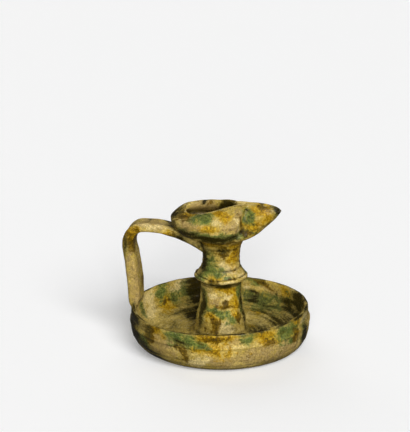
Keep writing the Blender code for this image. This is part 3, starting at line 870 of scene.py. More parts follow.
@dataclass
class StrapHandle:
    """The strap that rises from the dish's wall, turns over and ends on the neck."""

    dish: DripDish
    stem: Stem
    thickness: float = 8.4
    top_thickness: float = 8.0
    width: float = 17.0
    foot_width: float = 23.0
    neck_width: float = 20.0
    overhang: float = 8.0
    top_z: float = 96.77
    dip: float = 16.0
    buried: float = 6.0
    sections: int = 112

    def stations(self) -> list[tuple[float, float]]:
        """Centre line as (x, z) points, from inside the dish's wall to inside the neck."""
        wall_x = -(self.dish.rim_radius - 0.2 * self.thickness)
        outer_x = -(self.dish.rim_radius + self.overhang - 0.5 * self.thickness)
        top = self.top_z - 0.5 * self.top_thickness
        lip = self.dish.height
        rise = top - lip
        neck_x = -(self.stem.neck_radius - self.buried)
        reach = neck_x - outer_x
        return [
            (wall_x - 0.02 * self.thickness, lip - 0.5 * self.thickness),
            (wall_x - 0.06 * self.thickness, lip),
            (wall_x - 0.16 * self.overhang, lip + 0.26 * rise),
            (wall_x - 0.42 * self.overhang, lip + 0.55 * rise),
            (outer_x, lip + 0.75 * rise),
            (outer_x + 0.022 * reach, lip + 0.88 * rise),
            (outer_x + 0.095 * reach, lip + 0.97 * rise),
            (outer_x + 0.20 * reach, top),
            (outer_x + 0.38 * reach, top - 0.02 * self.dip),
            (outer_x + 0.52 * reach, top - 0.14 * self.dip),
            (outer_x + 0.66 * reach, top - 0.31 * self.dip),
            (outer_x + 0.78 * reach, top - 0.49 * self.dip),
            (outer_x + 0.88 * reach, top - 0.69 * self.dip),
            (neck_x, top - self.dip),
        ]

    def path(self) -> tuple[np.ndarray, np.ndarray, np.ndarray]:
        """Centre line of the strap.

        Returns:
            The places along it, the direction out of its upper face at each, and the share of its
            length there.
        """
        stations = self.stations()
        knots = np.linspace(0.0, 1.0, len(stations))
        share = np.linspace(0.0, 1.0, self.sections + 1)
        x = smooth_through([(k, s[0]) for k, s in zip(knots, stations)], share)
        z = smooth_through([(k, s[1]) for k, s in zip(knots, stations)], share)
        heading = np.stack((np.gradient(x), np.gradient(z)), axis=1)
        heading /= np.linalg.norm(heading, axis=1)[:, None]
        zeros = np.zeros(len(x))
        places = np.stack((x, zeros, z), axis=1)
        out = np.stack((-heading[:, 1], zeros, heading[:, 0]), axis=1)
        return places, out, share

    def mesh(self, material: bpy.types.Material) -> bpy.types.Mesh:
        """The strap as a closed form in metres."""
        places, out, share = self.path()
        half_width = 0.5 * smooth_through(
            [(0.0, self.foot_width), (0.08, self.foot_width), (0.35, 0.5 * (self.foot_width + self.width)),
             (0.6, self.width), (0.8, self.width), (1.0, self.neck_width)], share
        )
        half_thickness = 0.5 * smooth_through(
            [(0.0, 0.3 * self.thickness), (0.05, 0.85 * self.thickness), (0.11, 1.2 * self.thickness),
             (0.34, 1.10 * self.thickness), (0.6, self.top_thickness), (1.0, self.top_thickness)],
            share,
        )
        ends = np.concatenate(([0.0], np.ones(len(share) - 2), [0.0]))
        line = points_mesh(
            "strap_handle", places * MM,
            {"out": out, "half_width": half_width * ends * MM, "half_thickness": half_thickness * ends * MM},
        )
        return facing_out(
            pulled_strap(material).follow(
                line,
                {"Columns": 76, "Squareness": 0.48, "Thumb Groove": 0.16,
                 "Wobble": 0.07, "Wobble Patches": 60.0,
                 "Seed": 5.0},
            )
        )


def read_places(mesh: bpy.types.Mesh) -> np.ndarray:
    """Places of a mesh's points in millimetres."""
    flat = np.empty(3 * len(mesh.vertices))
    mesh.vertices.foreach_get("co", flat)
    return flat.reshape(-1, 3) / MM


def write_places(mesh: bpy.types.Mesh, places: np.ndarray) -> None:
    """Give a mesh's points their places in millimetres."""
    mesh.vertices.foreach_set("co", (places * MM).ravel())
    mesh.update()


def read_normals(mesh: bpy.types.Mesh) -> np.ndarray:
    """Directions out of a mesh at its points."""
    flat = np.empty(3 * len(mesh.vertices), np.float32)
    mesh.vertex_normals.foreach_get("vector", flat)
    return flat.reshape(-1, 3).astype(float)


def read_edges(mesh: bpy.types.Mesh) -> np.ndarray:
    """Pairs of points that a mesh's edges join."""
    flat = np.empty(2 * len(mesh.edges), np.int32)
    mesh.edges.foreach_get("vertices", flat)
    return flat.reshape(-1, 2)


def neighbour_mean(values: np.ndarray, edges: np.ndarray) -> np.ndarray:
    """Mean of each point's neighbours."""
    total = np.zeros_like(values)
    count = np.zeros(len(values))
    for here, there in ((0, 1), (1, 0)):
        np.add.at(total, edges[:, here], values[edges[:, there]])
        np.add.at(count, edges[:, here], 1.0)
    count = np.maximum(count, 1.0)
    return total / (count[:, None] if values.ndim == 2 else count)


@dataclass
class ClayJoint:
    """Luting of two forms, with the wet clay smoothed over the joint."""

    reach: float = 5.0
    passes: int = 26
    merge: float = 0.35

    def joined(self, body: bpy.types.Mesh, other: bpy.types.Mesh) -> bpy.types.Mesh:
        """One closed mesh of two forms.

        Args:
            body: the form that the other is fused to.
            other: the form to fuse.

        Returns:
            The fused mesh, smooth where the forms meet.
        """
        shells = [self.tree(mesh) for mesh in (body, other)]
        things = [bpy.data.objects.new(mesh.name, mesh) for mesh in (body, other)]
        for thing in things:
            bpy.context.scene.collection.objects.link(thing)
        union = things[0].modifiers.new("luting", "BOOLEAN")
        union.operation = "UNION"
        union.solver = "EXACT"
        union.object = things[1]
        bpy.context.view_layer.update()
        fused = bpy.data.meshes.new_from_object(
            things[0].evaluated_get(bpy.context.evaluated_depsgraph_get())
        )
        for thing in things:
            bpy.data.objects.remove(thing)
        self.cleaned(fused, shells)
        return fused

    @staticmethod
    def tree(mesh: bpy.types.Mesh) -> BVHTree:
        """Search tree of a mesh's faces."""
        return BVHTree.FromPolygons(
            [vertex.co for vertex in mesh.vertices], [tuple(face.vertices) for face in mesh.polygons]
        )

    def distance_to_joint(self, mesh: bpy.types.Mesh, shells: Sequence[BVHTree]) -> np.ndarray:
        """Distance in millimetres from each point to the nearest joint, up to twice the reach."""
        touching = np.zeros(len(mesh.vertices), int)
        for shell in shells:
            for index, vertex in enumerate(mesh.vertices):
                if shell.find_nearest(vertex.co, 0.02 * MM)[0] is not None:
                    touching[index] += 1
        joint = np.flatnonzero(touching > 1)
        finder = KDTree(len(joint))
        for number, index in enumerate(joint):
            finder.insert(mesh.vertices[int(index)].co, number)
        finder.balance()
        distance = np.array([finder.find(vertex.co)[2] for vertex in mesh.vertices]) / MM
        return np.minimum(distance, 2.0 * self.reach)

    def cleaned(self, mesh: bpy.types.Mesh, shells: Sequence[BVHTree]) -> None:
        """Merge the slivers that the fusing left and smooth the clay over the joints."""
        distance = self.distance_to_joint(mesh, shells)
        shell = bmesh.new()
        shell.from_mesh(mesh)
        shell.verts.ensure_lookup_table()
        near = [shell.verts[int(index)] for index in np.flatnonzero(distance < 1.5)]
        bmesh.ops.remove_doubles(shell, verts=near, dist=self.merge * MM)
        bmesh.ops.dissolve_degenerate(shell, edges=shell.edges, dist=0.01 * MM)
        bmesh.ops.triangulate(shell, faces=[face for face in shell.faces if len(face.verts) > 4])
        bmesh.ops.recalc_face_normals(shell, faces=shell.faces)
        shell.to_mesh(mesh)
        shell.free()
        distance = self.distance_to_joint(mesh, shells)
        weight = (1.0 - fade(distance, 0.3 * self.reach, self.reach))[:, None]
        places, edges = read_places(mesh), read_edges(mesh)
        for _ in range(self.passes):
            places += 0.6 * weight * (neighbour_mean(places, edges) - places)
        write_places(mesh, places)


class Glaze(Enum):
    """What lies on the clay at a splash."""

    GREEN = "green"
    AMBER = "amber"
    BROWN = "brown"
    CREAM = "cream"
    CLAY = "clay"
    # Grime patches are dirt and soot, and also painted shade and painted shadows.
    GRIME = "grime"


@dataclass(frozen=True)
class Splash:
    """A patch of one glaze: its place, half its size across and up the wall, and its turn in degrees."""

    glaze: Glaze
    at: Place
    across: float
    up: float
    turn: float = 0.0
    strength: float = 1.0


@dataclass
class SplashedDecor:
    """Where the glazes were dabbed and poured, where dirt and wear have settled since, and where shade and
    highlights are painted on.
    """

    hidden_count: int = 120
    seed: int = 41
    flat_above: float = 0.92
    slim_below: float = 6.5
    grime_and_shade_drift: float = 0.35
    rim_radius: float = 67.6
    rim_z: float = 33.0

    def reservoir(self) -> list[Splash]:
        """Splashes on the oil cup, outside and in."""
        return [
            Splash(Glaze.GREEN, (-14, -19, 110), 9.0, 5.0),
            Splash(Glaze.GREEN, (-9, -23, 107), 4.6, 4.2),
            Splash(Glaze.AMBER, (0, -18, 112), 5.4, 2.1),
            Splash(Glaze.AMBER, (7, -19, 110), 4.0, 4.4),
            Splash(Glaze.CREAM, (0, -23, 108), 4.0, 3.0, 0, 0.5),
            Splash(Glaze.AMBER, (-5, -25, 101), 6.1, 2.7, 0, 0.8),
            Splash(Glaze.CLAY, (14, -16, 111), 4.5, 7.1),
            Splash(Glaze.GRIME, (14, -17, 106), 6.0, 7.0, 0, 0.16),
            Splash(Glaze.CLAY, (11, -22, 102), 6.4, 5.0),
            Splash(Glaze.CLAY, (-25, -17, 107), 5.9, 3.9),
            Splash(Glaze.CLAY, (-22, -23, 103), 5.8, 4.0),
            Splash(Glaze.CLAY, (-10, -25, 101), 6.9, 3.3),
            Splash(Glaze.GREEN, (2, -24, 93), 22.0, 3.0),
            # Painted shadow under the cup's belly.
            Splash(Glaze.GRIME, (-2, -24, 92), 24.0, 3.4, 0, 0.85),
            Splash(Glaze.GRIME, (-23, -20, 93), 15.0, 5.0, 0, 0.9),
            # Painted shade on the cup's left end, turned from the key light.
            Splash(Glaze.GRIME, (-38, 0, 105), 12.0, 9.0, 0, 0.9),
            Splash(Glaze.GRIME, (-35, -13, 99), 7.0, 6.4, 0, 0.8),
            Splash(Glaze.GRIME, (-33, 5, 109), 8.0, 7.0, 0, 0.8),
            Splash(Glaze.BROWN, (-32, -8, 108), 9.0, 6.0, 0, 0.6),
            Splash(Glaze.CREAM, (-30, -15, 107), 1.4, 1.6, 0, 0.7),
            Splash(Glaze.GRIME, (-37, -6, 106), 7.0, 6.0, 0, 0.8),
            Splash(Glaze.GREEN, (22, -11, 110), 4.2, 5.6),
            # Painted shadow in the fold's valley, and a painted highlight on its crest.
            Splash(Glaze.GRIME, (21, -13, 105), 1.8, 7.0, 12, 0.35),
            Splash(Glaze.CREAM, (17, -17, 103), 1.4, 8.0, 12),
            Splash(Glaze.BROWN, (20, -15, 103), 1.1, 9.0, 12, 0.9),
            Splash(Glaze.AMBER, (26, -12, 99), 7.0, 6.6),
            Splash(Glaze.AMBER, (32, -7, 112), 10.5, 5.4),
            Splash(Glaze.AMBER, (36, -8, 106), 7.0, 4.0, 20, 0.7),
            Splash(Glaze.BROWN, (33, -5, 114), 6.9, 1.6, -18, 0.8),
            Splash(Glaze.BROWN, (23, -13, 95), 2.4, 1.6, 0, 0.8),
            Splash(Glaze.GRIME, (31, 3, 114), 10.0, 2.4, 0, 0.8),
            Splash(Glaze.GRIME, (36, -5, 101), 14.0, 2.4, 30, 0.5),
            Splash(Glaze.CREAM, (31, -10, 101), 3.5, 2.4, 20, 0.7),
            Splash(Glaze.GREEN, (46, -1, 112), 4.0, 3.4),
            Splash(Glaze.GRIME, (45, -2, 112), 6.6, 6.0, 0, 0.95),
            Splash(Glaze.CLAY, (-14, 10, 108), 14.0, 6.0, 0, 0.9),
            # Painted highlight along the near lip's crest, a painted shadow line under it, and painted shade
            # on the far lip.
            Splash(Glaze.CREAM, (-12, -10, 110), 11.0, 1.3, 0),
            Splash(Glaze.CREAM, (4, -9, 112), 8.0, 1.2, 8),
            Splash(Glaze.GRIME, (-11, -13, 109), 11.0, 0.8, 0, 0.6),
            Splash(Glaze.GRIME, (4, -12, 111), 7.0, 0.8, 8, 0.55),
            Splash(Glaze.GRIME, (-14, 11, 113), 13.0, 1.5, 0, 0.9),
            Splash(Glaze.GRIME, (6, 13, 114), 11.0, 1.5, 0, 0.9),
            Splash(Glaze.BROWN, (3, 9, 111), 12.0, 6.6),
            # Painted shade inside the mouth.
            Splash(Glaze.GRIME, (4, 8, 110), 10.0, 6.0, 0, 0.9),
        ]

    def neck(self) -> list[Splash]:
        """Splashes on the neck and its collar."""
        return [
            # Painted shade down the neck's two sides and painted shadow under the cup.
            Splash(Glaze.GRIME, (-12, -9, 70), 4.6, 17.0, 0, 0.9),
            Splash(Glaze.GRIME, (14, 1, 68), 3.7, 15.0, 0, 0.6),
            Splash(Glaze.GRIME, (2, -21, 88), 20.0, 2.6, 0, 0.7),
            Splash(Glaze.BROWN, (5, -14, 79), 7.6, 3.9),
            Splash(Glaze.GRIME, (3, -15, 80), 5.0, 2.4, 0, 0.85),
            Splash(Glaze.CREAM, (6, -14, 78), 1.4, 1.2),
            Splash(Glaze.AMBER, (12, -8, 74), 5.6, 7.0),
            Splash(Glaze.AMBER, (13, -11, 84), 9.0, 3.6, 0, 0.7),
            Splash(Glaze.AMBER, (-6, -18, 85), 8.0, 2.6, 0, 0.5),
            Splash(Glaze.GREEN, (-8, -13, 66), 5.6, 10.0),
            Splash(Glaze.GREEN, (-1, -16, 62), 6.5, 4.4),
            Splash(Glaze.CREAM, (3, -14, 69), 3.5, 4.1, 0, 0.7),
            Splash(Glaze.CLAY, (11, -10, 66), 6.5, 5.3),
            Splash(Glaze.CREAM, (10, -11, 66), 5.4, 4.4, 0, 0.7),
            Splash(Glaze.BROWN, (4, -19, 87), 11.0, 1.8, 0, 0.8),
            Splash(Glaze.AMBER, (0, -18, 59), 9.0, 3.2),
            Splash(Glaze.BROWN, (-3, -20, 57), 5.0, 2.2, 0, 0.8),
            Splash(Glaze.GREEN, (-14, -14, 57), 4.8, 2.6),
            Splash(Glaze.GREEN, (8, -17, 59), 5.5, 1.8),
            Splash(Glaze.BROWN, (12, -15, 58), 4.1, 1.6, 0, 0.7),
            Splash(Glaze.CREAM, (18, -6, 58), 4.8, 2.6),
            # Painted highlight on the collar's front chip.
            Splash(Glaze.CREAM, (8, -20, 55), 6.0, 1.1),
            # Painted shadow under the collar's edge.
            Splash(Glaze.GRIME, (-14, -14, 55), 9.0, 2.4, 0, 0.75),
            Splash(Glaze.GRIME, (-4, -20, 54), 7.0, 1.8, 0, 0.7),
            Splash(Glaze.GRIME, (19, -8, 55), 6.0, 2.2, 0, 0.6),
        ]

    def stem(self) -> list[Splash]:
        """Splashes on the stem below the collar."""
        return [
            # Painted shadow under the collar, and painted shade down the stem's two sides.
            Splash(Glaze.GRIME, (4, -18, 53), 14.0, 3.4),
            Splash(Glaze.GRIME, (-13, -12, 30), 4.6, 20.0, 0, 0.9),
            Splash(Glaze.GRIME, (18, -3, 30), 4.4, 20.0, 0, 0.9),
            Splash(Glaze.AMBER, (6, -15, 48), 9.1, 2.7),
            Splash(Glaze.AMBER, (12, -11, 47), 6.0, 3.7),
            Splash(Glaze.CREAM, (-4, -16, 43), 3.4, 2.5),
            Splash(Glaze.CLAY, (0, -16, 39), 4.4, 3.6),
            Splash(Glaze.CREAM, (8, -14, 41), 4.1, 3.5, 0, 0.8),
            Splash(Glaze.AMBER, (13, -10, 37), 4.2, 6.5),
            Splash(Glaze.BROWN, (6, -15, 38), 1.8, 3.0, 20),
            Splash(Glaze.BROWN, (6, -15, 34), 5.5, 1.2, -8),
            Splash(Glaze.AMBER, (14, -11, 29), 5.3, 4.2),
            Splash(Glaze.BROWN, (17, -8, 26), 3.6, 5.0),
            Splash(Glaze.GREEN, (4, -17, 29), 9.4, 2.8, -28),
            Splash(Glaze.GREEN, (11, -15, 24), 5.0, 2.6, -20),
            Splash(Glaze.BROWN, (-2, -20, 20), 5.6, 5.4),
            Splash(Glaze.AMBER, (-3, -19, 26), 5.0, 2.4, 0, 0.7),
            Splash(Glaze.CREAM, (8, -18, 20), 4.7, 4.8),
            Splash(Glaze.GREEN, (-12, -12, 36), 3.8, 12.0),
            Splash(Glaze.GREEN, (15, -5, 45), 3.6, 6.0),
            Splash(Glaze.GREEN, (17, -4, 31), 2.6, 5.0),
        ]

    def dish_outside(self) -> list[Splash]:
        """Splashes on the dish's outer wall."""
        return [
            # Painted shade on the dish's left and right sides and along its foot.
            Splash(Glaze.GRIME, (-64, -32, 18), 17.0, 22.0, 0, 1.0),
            Splash(Glaze.GRIME, (-48, -50, 8), 22.0, 8.0, -20, 0.85),
            Splash(Glaze.GRIME, (69, -12, 14), 8.0, 14.0, 0, 0.9),
            Splash(Glaze.GRIME, (-20, -62, 2), 40.0, 2.2, 0, 0.2),
            Splash(Glaze.GRIME, (22, -62, 2), 36.0, 2.2, 0, 0.15),
            Splash(Glaze.GRIME, (52, -42, 4), 24.0, 4.0, 0, 0.5),
            Splash(Glaze.BROWN, (-46, -54, 25), 8.4, 8.0),
            Splash(Glaze.GRIME, (-47, -53, 25), 7.0, 7.0, 0, 0.62),
            Splash(Glaze.AMBER, (-40, -59, 27), 6.0, 4.0, 0, 0.7),
            Splash(Glaze.GREEN, (-52, -49, 16), 8.0, 4.6, -10, 0.8),
            Splash(Glaze.GREEN, (-21, -68, 27), 11.5, 5.0, -12),
            Splash(Glaze.GREEN, (-10, -71, 24), 10.5, 2.8, -6),
            Splash(Glaze.GRIME, (-20, -69, 25), 8.4, 1.8, -12, 0.65),
            Splash(Glaze.BROWN, (-17, -69, 17), 5.4, 3.6, -20, 0.9),
            Splash(Glaze.BROWN, (-14, -69, 12), 2.6, 4.4, 0, 0.8),
            Splash(Glaze.AMBER, (-3, -71, 21), 7.0, 3.0),
            Splash(Glaze.AMBER, (9, -69, 29), 12.5, 4.4, 0, 0.8),
            Splash(Glaze.BROWN, (8, -69, 28), 7.5, 1.8, 0, 0.55),
            Splash(Glaze.AMBER, (9, -70, 19), 10.0, 4.8, 0, 0.6),
            Splash(Glaze.CREAM, (-4, -69, 11), 9.1, 4.6, 25),
            Splash(Glaze.CLAY, (17, -67, 11), 12.2, 5.8),
            Splash(Glaze.CLAY, (37, -59, 14), 22.5, 8.4, 6),
            Splash(Glaze.CLAY, (56, -39, 12), 18.6, 9.0, 20),
            Splash(Glaze.CLAY, (20, -66, 26), 7.0, 3.6),
            Splash(Glaze.GREEN, (31, -62, 27), 4.6, 3.8, 0, 0.6),
            Splash(Glaze.AMBER, (45, -52, 27), 9.6, 6.8, 0, 0.8),
            Splash(Glaze.BROWN, (47, -52, 23), 4.0, 2.0, 0, 0.6),
            Splash(Glaze.GREEN, (55, -41, 26), 6.6, 6.0, 0, 0.6),
            Splash(Glaze.GREEN, (62, -31, 27), 5.4, 4.0, 0, 0.6),
            Splash(Glaze.GREEN, (60, -33, 19), 4.4, 3.0),
            Splash(Glaze.AMBER, (52, -44, 22), 4.0, 2.2, 30, 0.7),
            Splash(Glaze.AMBER, (59, -36, 23), 3.4, 2.0, 20, 0.9),
            Splash(Glaze.CREAM, (57, -39, 29), 3.4, 1.1, 10, 0.9),
            Splash(Glaze.CREAM, (54, -42, 24), 1.6, 1.2, 0, 0.9),
            Splash(Glaze.AMBER, (63, -26, 31), 6.4, 4.0),
            Splash(Glaze.BROWN, (63, -29, 20), 4.4, 5.6),
            Splash(Glaze.AMBER, (62, -30, 24), 4.0, 3.6),
            Splash(Glaze.GREEN, (68, -15, 18), 6.4, 8.0),
            Splash(Glaze.CREAM, (67, -13, 29), 7.0, 2.6),
            Splash(Glaze.CLAY, (-36, -62, 17), 10.8, 8.5),
        ]

    def dish_inside(self) -> list[Splash]:
        """Splashes, soot and old oil inside the dish, and painted shade: the stem's shadow on its left and
        shade on its right wall and floor.
        """
        return [
            Splash(Glaze.GREEN, (-56, 33, 26), 7.6, 7.0),
            Splash(Glaze.AMBER, (-52, 35, 16), 7.4, 6.0, 0, 0.7),
            Splash(Glaze.BROWN, (-51, 36, 17), 2.6, 1.2, 0, 0.5),
            Splash(Glaze.GREEN, (-65, 5, 22), 4.2, 7.4),
            Splash(Glaze.CREAM, (-43, 48, 26), 7.4, 5.0, 0, 0.7),
            Splash(Glaze.GREEN, (-40, 50, 19), 9.0, 4.4, 0, 0.5),
            Splash(Glaze.CREAM, (-61, 13, 15), 8.3, 4.6),
            Splash(Glaze.CREAM, (-62, 20, 23), 6.5, 8.1),
            # Painted shadow of the stem on the wall and floor to its left, with soot there.
            Splash(Glaze.GRIME, (-22, 57, 18), 18.0, 26.0, 0, 1.2),
            Splash(Glaze.GRIME, (-26, 30, 9), 13.0, 18.0, 0, 0.85),
            Splash(Glaze.GRIME, (-38, 30, 10), 18.0, 9.0, 0, 0.42),
            Splash(Glaze.GRIME, (-40, 3, 9), 18.0, 14.0, 0, 0.5),
            Splash(Glaze.AMBER, (44, 48, 27), 13.0, 4.0, -30, 0.5),
            Splash(Glaze.GREEN, (18, 63, 29), 8.0, 3.9, -10),
            Splash(Glaze.CREAM, (10, 63, 24), 3.0, 2.4),
            # Painted shade across the back wall.
            Splash(Glaze.GRIME, (16, 62, 20), 9.5, 2.6, -20, 0.75),
            Splash(Glaze.GRIME, (15, 59, 14), 10.0, 6.5, 0, 0.62),
            Splash(Glaze.CLAY, (28, 58, 25), 17.9, 4.6, -22, 0.7),
            Splash(Glaze.GREEN, (28, 53, 13), 19.0, 6.4, 0, 0.5),
            Splash(Glaze.AMBER, (24, 59, 18), 9.2, 1.8, -10, 0.8),
            Splash(Glaze.AMBER, (22, 44, 10), 6.5, 4.0),
            # Painted shade on the right wall and floor, with soot there.
            Splash(Glaze.GRIME, (31, 44, 11), 30.0, 18.0, 0, 0.52),
            Splash(Glaze.GRIME, (44, 24, 9), 26.0, 20.0, 0, 0.70),
            Splash(Glaze.GRIME, (34, 4, 9), 26.0, 18.0, 0, 0.74),
            Splash(Glaze.GRIME, (58, 30, 23), 16.0, 17.0, 0, 0.97),
            Splash(Glaze.GRIME, (50, 42, 18), 14.4, 8.0, 0, 0.85),
            Splash(Glaze.BROWN, (25, 60, 28), 13.1, 2.4, -15, 0.8),
            Splash(Glaze.BROWN, (62, 20, 28), 10.0, 3.0, 0, 0.9),
        ]

    def handle(self) -> list[Splash]:
        """Splashes on the strap handle."""
        return [
            # Painted shade on the strap's outer edge.
            Splash(Glaze.GRIME, (-74, -7, 78), 2.6, 20.0, 0, 0.5),
            Splash(Glaze.BROWN, (-70, -9, 83), 5.6, 7.4, 0, 0.9),
            Splash(Glaze.AMBER, (-69, -9, 89), 5.0, 5.1),
            Splash(Glaze.AMBER, (-41, -7, 88), 6.8, 3.6, -20),
            Splash(Glaze.CLAY, (-55, -6, 96), 14.0, 9.0),
            Splash(Glaze.CLAY, (-47, -8, 94), 6.2, 3.2),
            Splash(Glaze.CREAM, (-52, -8, 94), 7.0, 1.8, 0, 0.6),
            Splash(Glaze.CLAY, (-67, -9, 54), 6.0, 16.0, 0, 0.9),
            Splash(Glaze.CLAY, (-66, -9, 44), 6.0, 14.0, 0, 0.9),
            # Painted shade under the cup at the strap's root, and on the strap's far side.
            Splash(Glaze.GRIME, (-31, -7, 85), 10.0, 3.6, -32, 0.85),
            Splash(Glaze.GRIME, (-22, -9, 79), 8.0, 2.4, -40, 0.6),
            Splash(Glaze.BROWN, (-36, -8, 88), 5.0, 2.2, -24, 0.8),
            Splash(Glaze.GRIME, (-44, 7, 95), 10.0, 2.2, -10, 0.85),
            Splash(Glaze.GRIME, (-57, 5, 97), 12.0, 1.6, 0, 0.6),
        ]

    def out_of_sight(self, places: np.ndarray, normals: np.ndarray) -> list[Splash]:
        """Splashes on the sides that face away, dabbed at random from a fixed seed."""
        chance = np.random.default_rng(self.seed)
        towards = np.array([0.16, -0.92, 0.35])
        away = np.flatnonzero((normals @ towards < -0.05) & (places[:, 2] > 2.0))
        glazes = chance.choice(
            [Glaze.GREEN, Glaze.AMBER, Glaze.BROWN, Glaze.CREAM, Glaze.CLAY, Glaze.GRIME],
            self.hidden_count, p=[0.25, 0.25, 0.12, 0.14, 0.14, 0.10],
        )
        splashes = []
        for glaze, index in zip(glazes, chance.choice(away, self.hidden_count)):
            across, up = chance.uniform(2.5, 9.5), chance.uniform(2.5, 8.0)
            spot = tuple(places[index])
            splash = Splash(glaze, spot, across, up, chance.uniform(-35.0, 35.0), chance.uniform(0.7, 1.0))
            on_strap = spot[0] < -36.0 and spot[2] > 88.0
            if not on_strap and spot[2] < 111.0:
                splashes.append(splash)
        return splashes

    def dish_rim(self) -> list[Splash]:
        """The thin dark line all along the crest of the dish's rim: dirt there and painted shade on its
        inner edge.
        """
        crest = [
            (self.rim_radius * math.cos(turn), self.rim_radius * math.sin(turn), self.rim_z)
            for turn in np.radians(np.arange(0.0, 360.0, 18.0))
        ]
        return [Splash(Glaze.GRIME, spot, 13.0, 1.3, 0, 0.85) for spot in crest]

    def all(self, places: np.ndarray, normals: np.ndarray) -> list[Splash]:
        """Every splash on the lamp."""
        return (
            self.out_of_sight(places, normals) + self.reservoir() + self.neck() + self.stem()
            + self.dish_outside() + self.dish_inside() + self.dish_rim() + self.handle()
        )

    def fields(self, places: np.ndarray, normals: np.ndarray) -> dict[Glaze, np.ndarray]:
        """How far inside each glaze's splashes every point lies.

        Args:
            places: the lamp's points in millimetres.
            normals: the directions out of it there.

        Returns:
            For each glaze, 1 at the middle of a splash, 0 on its edge and -1 well outside it. Grime and
            painted shade have no edge: they fade from 1 at their middle to 0.
        """
        found = {glaze: np.full(len(places), -1.0) for glaze in Glaze}
        drift = np.stack(
            [
                5.5 * bumps(places, 8.5, 20.0 + axis) + 2.8 * bumps(places, 3.6, 30.0 + axis)
                for axis in range(3)
            ],
            axis=1,
        )
        for splash in self.all(places, normals):
            centre = np.array(splash.at, float)
            nearest = np.argsort(((places - centre) ** 2).sum(axis=1))[:24]
            out = normals[nearest[0]] + 0.2 * normals[nearest].mean(axis=0)
            out /= np.linalg.norm(out)
            facing = centre if abs(out[2]) > self.flat_above else out
            level = np.array([-facing[1], facing[0], 0.0])
            level /= np.linalg.norm(level) + 1e-9
            upward = np.cross(out, level)
            slim = min(1.0, max(0.2, min(splash.across, splash.up) / self.slim_below))
            if splash.glaze is Glaze.GRIME:
                slim *= self.grime_and_shade_drift
            offset = places + slim * drift - places[nearest[0]]
            turn = math.radians(splash.turn)
            sideways, along, through = offset @ level, offset @ upward, np.abs(offset @ out)
            across = (sideways * math.cos(turn) + along * math.sin(turn)) / splash.across
            up = (along * math.cos(turn) - sideways * math.sin(turn)) / splash.up
            apart = np.hypot(across, up)
            apart += 1.5 * np.clip((0.35 - normals @ out) / 0.5, 0.0, 1.0)
            apart += 0.5 * np.maximum(0.0, through - 3.0 - 0.6 * max(splash.across, splash.up))
            if splash.glaze is Glaze.GRIME:
                value = splash.strength * np.exp(-1.1 * apart ** 2)
            else:
                value = np.clip(splash.strength * (1.0 - apart), -1.0, 1.0)
            found[splash.glaze] = np.maximum(found[splash.glaze], value)
        return found


